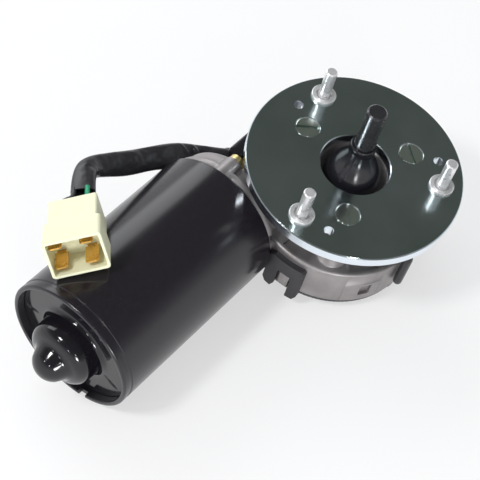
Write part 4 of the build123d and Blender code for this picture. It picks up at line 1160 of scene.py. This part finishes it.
# Name, place and size in metres, watts and colour; the small ones give the paint its sharp glints
LAMPS = [
    ("key", (-0.9, 0.5, 1.1), (0.26, 0.22), 10, (1, 1, 1)),
    ("window", (0.45, 1.55, 0.72), (1.6, 0.9), 12, (0.96, 0.98, 1.0)),
    ("glint_a", (-1.9, 0.7, 1.0), (0.12, 0.12), 2.0, (1, 1, 1)),
    ("glint_b", (-2.0, -0.5, 0.9), (0.12, 0.12), 2.0, (1, 1, 1)),
    ("glint_c", (-1.3, -1.5, 1.1), (0.12, 0.12), 2.0, (1, 1, 1)),
    ("left", (-0.9, -0.9, 0.3), (0.24, 0.2), 6, (0.97, 0.98, 1.0)),
]


def rest_plane():
    """Upward direction and lowest place of the motor as it lies on the can and the edge of its cover."""
    best = None
    for tenth in range(300):
        tilt = radians(tenth * 0.1)
        up = Vector((0, sin(tilt), cos(tilt)))
        can = up.dot(Vector((0, MOTOR_Y, MOTOR_Z))) - CAN_RADIUS
        gap = abs(can - up.dot(COVER_FLOOR_EDGE))
        if best is None or gap < best[0]:
            best = (gap, up, can)
    return best[1], best[2]


def floor_material():
    """Pale matt floor that keeps its shadows and looks partly lit from itself."""
    s = Surface("floor", (0.86, 0.86, 0.86), 0.7)
    ray = s.node("ShaderNodeLightPath").outputs
    white = s.node("ShaderNodeEmission")
    white.inputs["Color"].default_value = WHITE
    white.inputs["Strength"].default_value = 1.0
    seen = s.math("MAXIMUM", ray["Is Camera Ray"], ray["Is Glossy Ray"])
    seen = s.math("MAXIMUM", seen, ray["Is Transmission Ray"])
    glow = s.math("MULTIPLY", seen, FLOOR_GLOW)
    shader = s.blend(glow, s.shader.outputs["BSDF"], white.outputs["Emission"])
    s.link(shader, s.tree.nodes["Material Output"].inputs["Surface"])
    return s.material


def add_floor():
    up, height = rest_plane()
    mesh = bpy.data.meshes.new("floor")
    corners = [(x * FLOOR_REACH, y * FLOOR_REACH, 0) for x, y in ((-1, -1), (1, -1), (1, 1), (-1, 1))]
    mesh.from_pydata(corners, [], [(0, 1, 2, 3)])
    floor = bpy.data.objects.new("floor", mesh)
    shown.objects.link(floor)
    mesh.materials.append(floor_material())
    turn = up.to_track_quat("Z", "Y").to_matrix().to_4x4()
    floor.matrix_world = Matrix.Translation(up * (height - FLOOR_GAP) * MM) @ turn


def add_world():
    """White room for the camera; reflections see it white low down and dim overhead."""
    world = bpy.data.worlds.new("studio")
    bpy.context.scene.world = world
    world.use_nodes = True
    world.node_tree.nodes.clear()
    room = Nodes(world.node_tree)
    ray = room.node("ShaderNodeLightPath").outputs
    split = room.node("ShaderNodeSeparateXYZ")
    room.link(room.node("ShaderNodeTexCoord").outputs["Generated"], split.inputs["Vector"])
    reflected = room.background(room.ramp(room.span(split.outputs["Z"], -1, 1, 0, 1), *ROOM_STOPS))
    mirrored = room.math("MAXIMUM", ray["Is Glossy Ray"], ray["Is Transmission Ray"])
    around = room.blend(mirrored, room.background(ROOM_LIGHT), reflected)
    behind = room.blend(ray["Is Camera Ray"], around, room.background(WHITE))
    room.link(behind, room.node("ShaderNodeOutputWorld").inputs["Surface"])


def add_lamps():
    for name, place, size, watts, color in LAMPS:
        data = bpy.data.lights.new(name, "AREA")
        data.shape = "RECTANGLE"
        data.size, data.size_y = size
        data.energy = watts
        data.color = color
        lamp = bpy.data.objects.new(name, data)
        shown.objects.link(lamp)
        look = (LAMP_TARGET - Vector(place)).normalized()
        facing = look.to_track_quat("-Z", "Y").to_matrix().to_4x4()
        lamp.matrix_world = Matrix.Translation(Vector(place)) @ facing


# --- Assembly ----------------------------------------------------------------------------------------

bpy.context.scene.view_settings.view_transform = "Standard"
add_camera()
add_world()
add_lamps()
add_floor()
made = finishes()
add_harness(made)
add_end_plate(made)
add_can(made)
add_boot(made)
add_housing(made)
add_cover(made)
add_breather(made)
add_outlet(made)
add_screws(made)

bpy.context.view_layer.update()
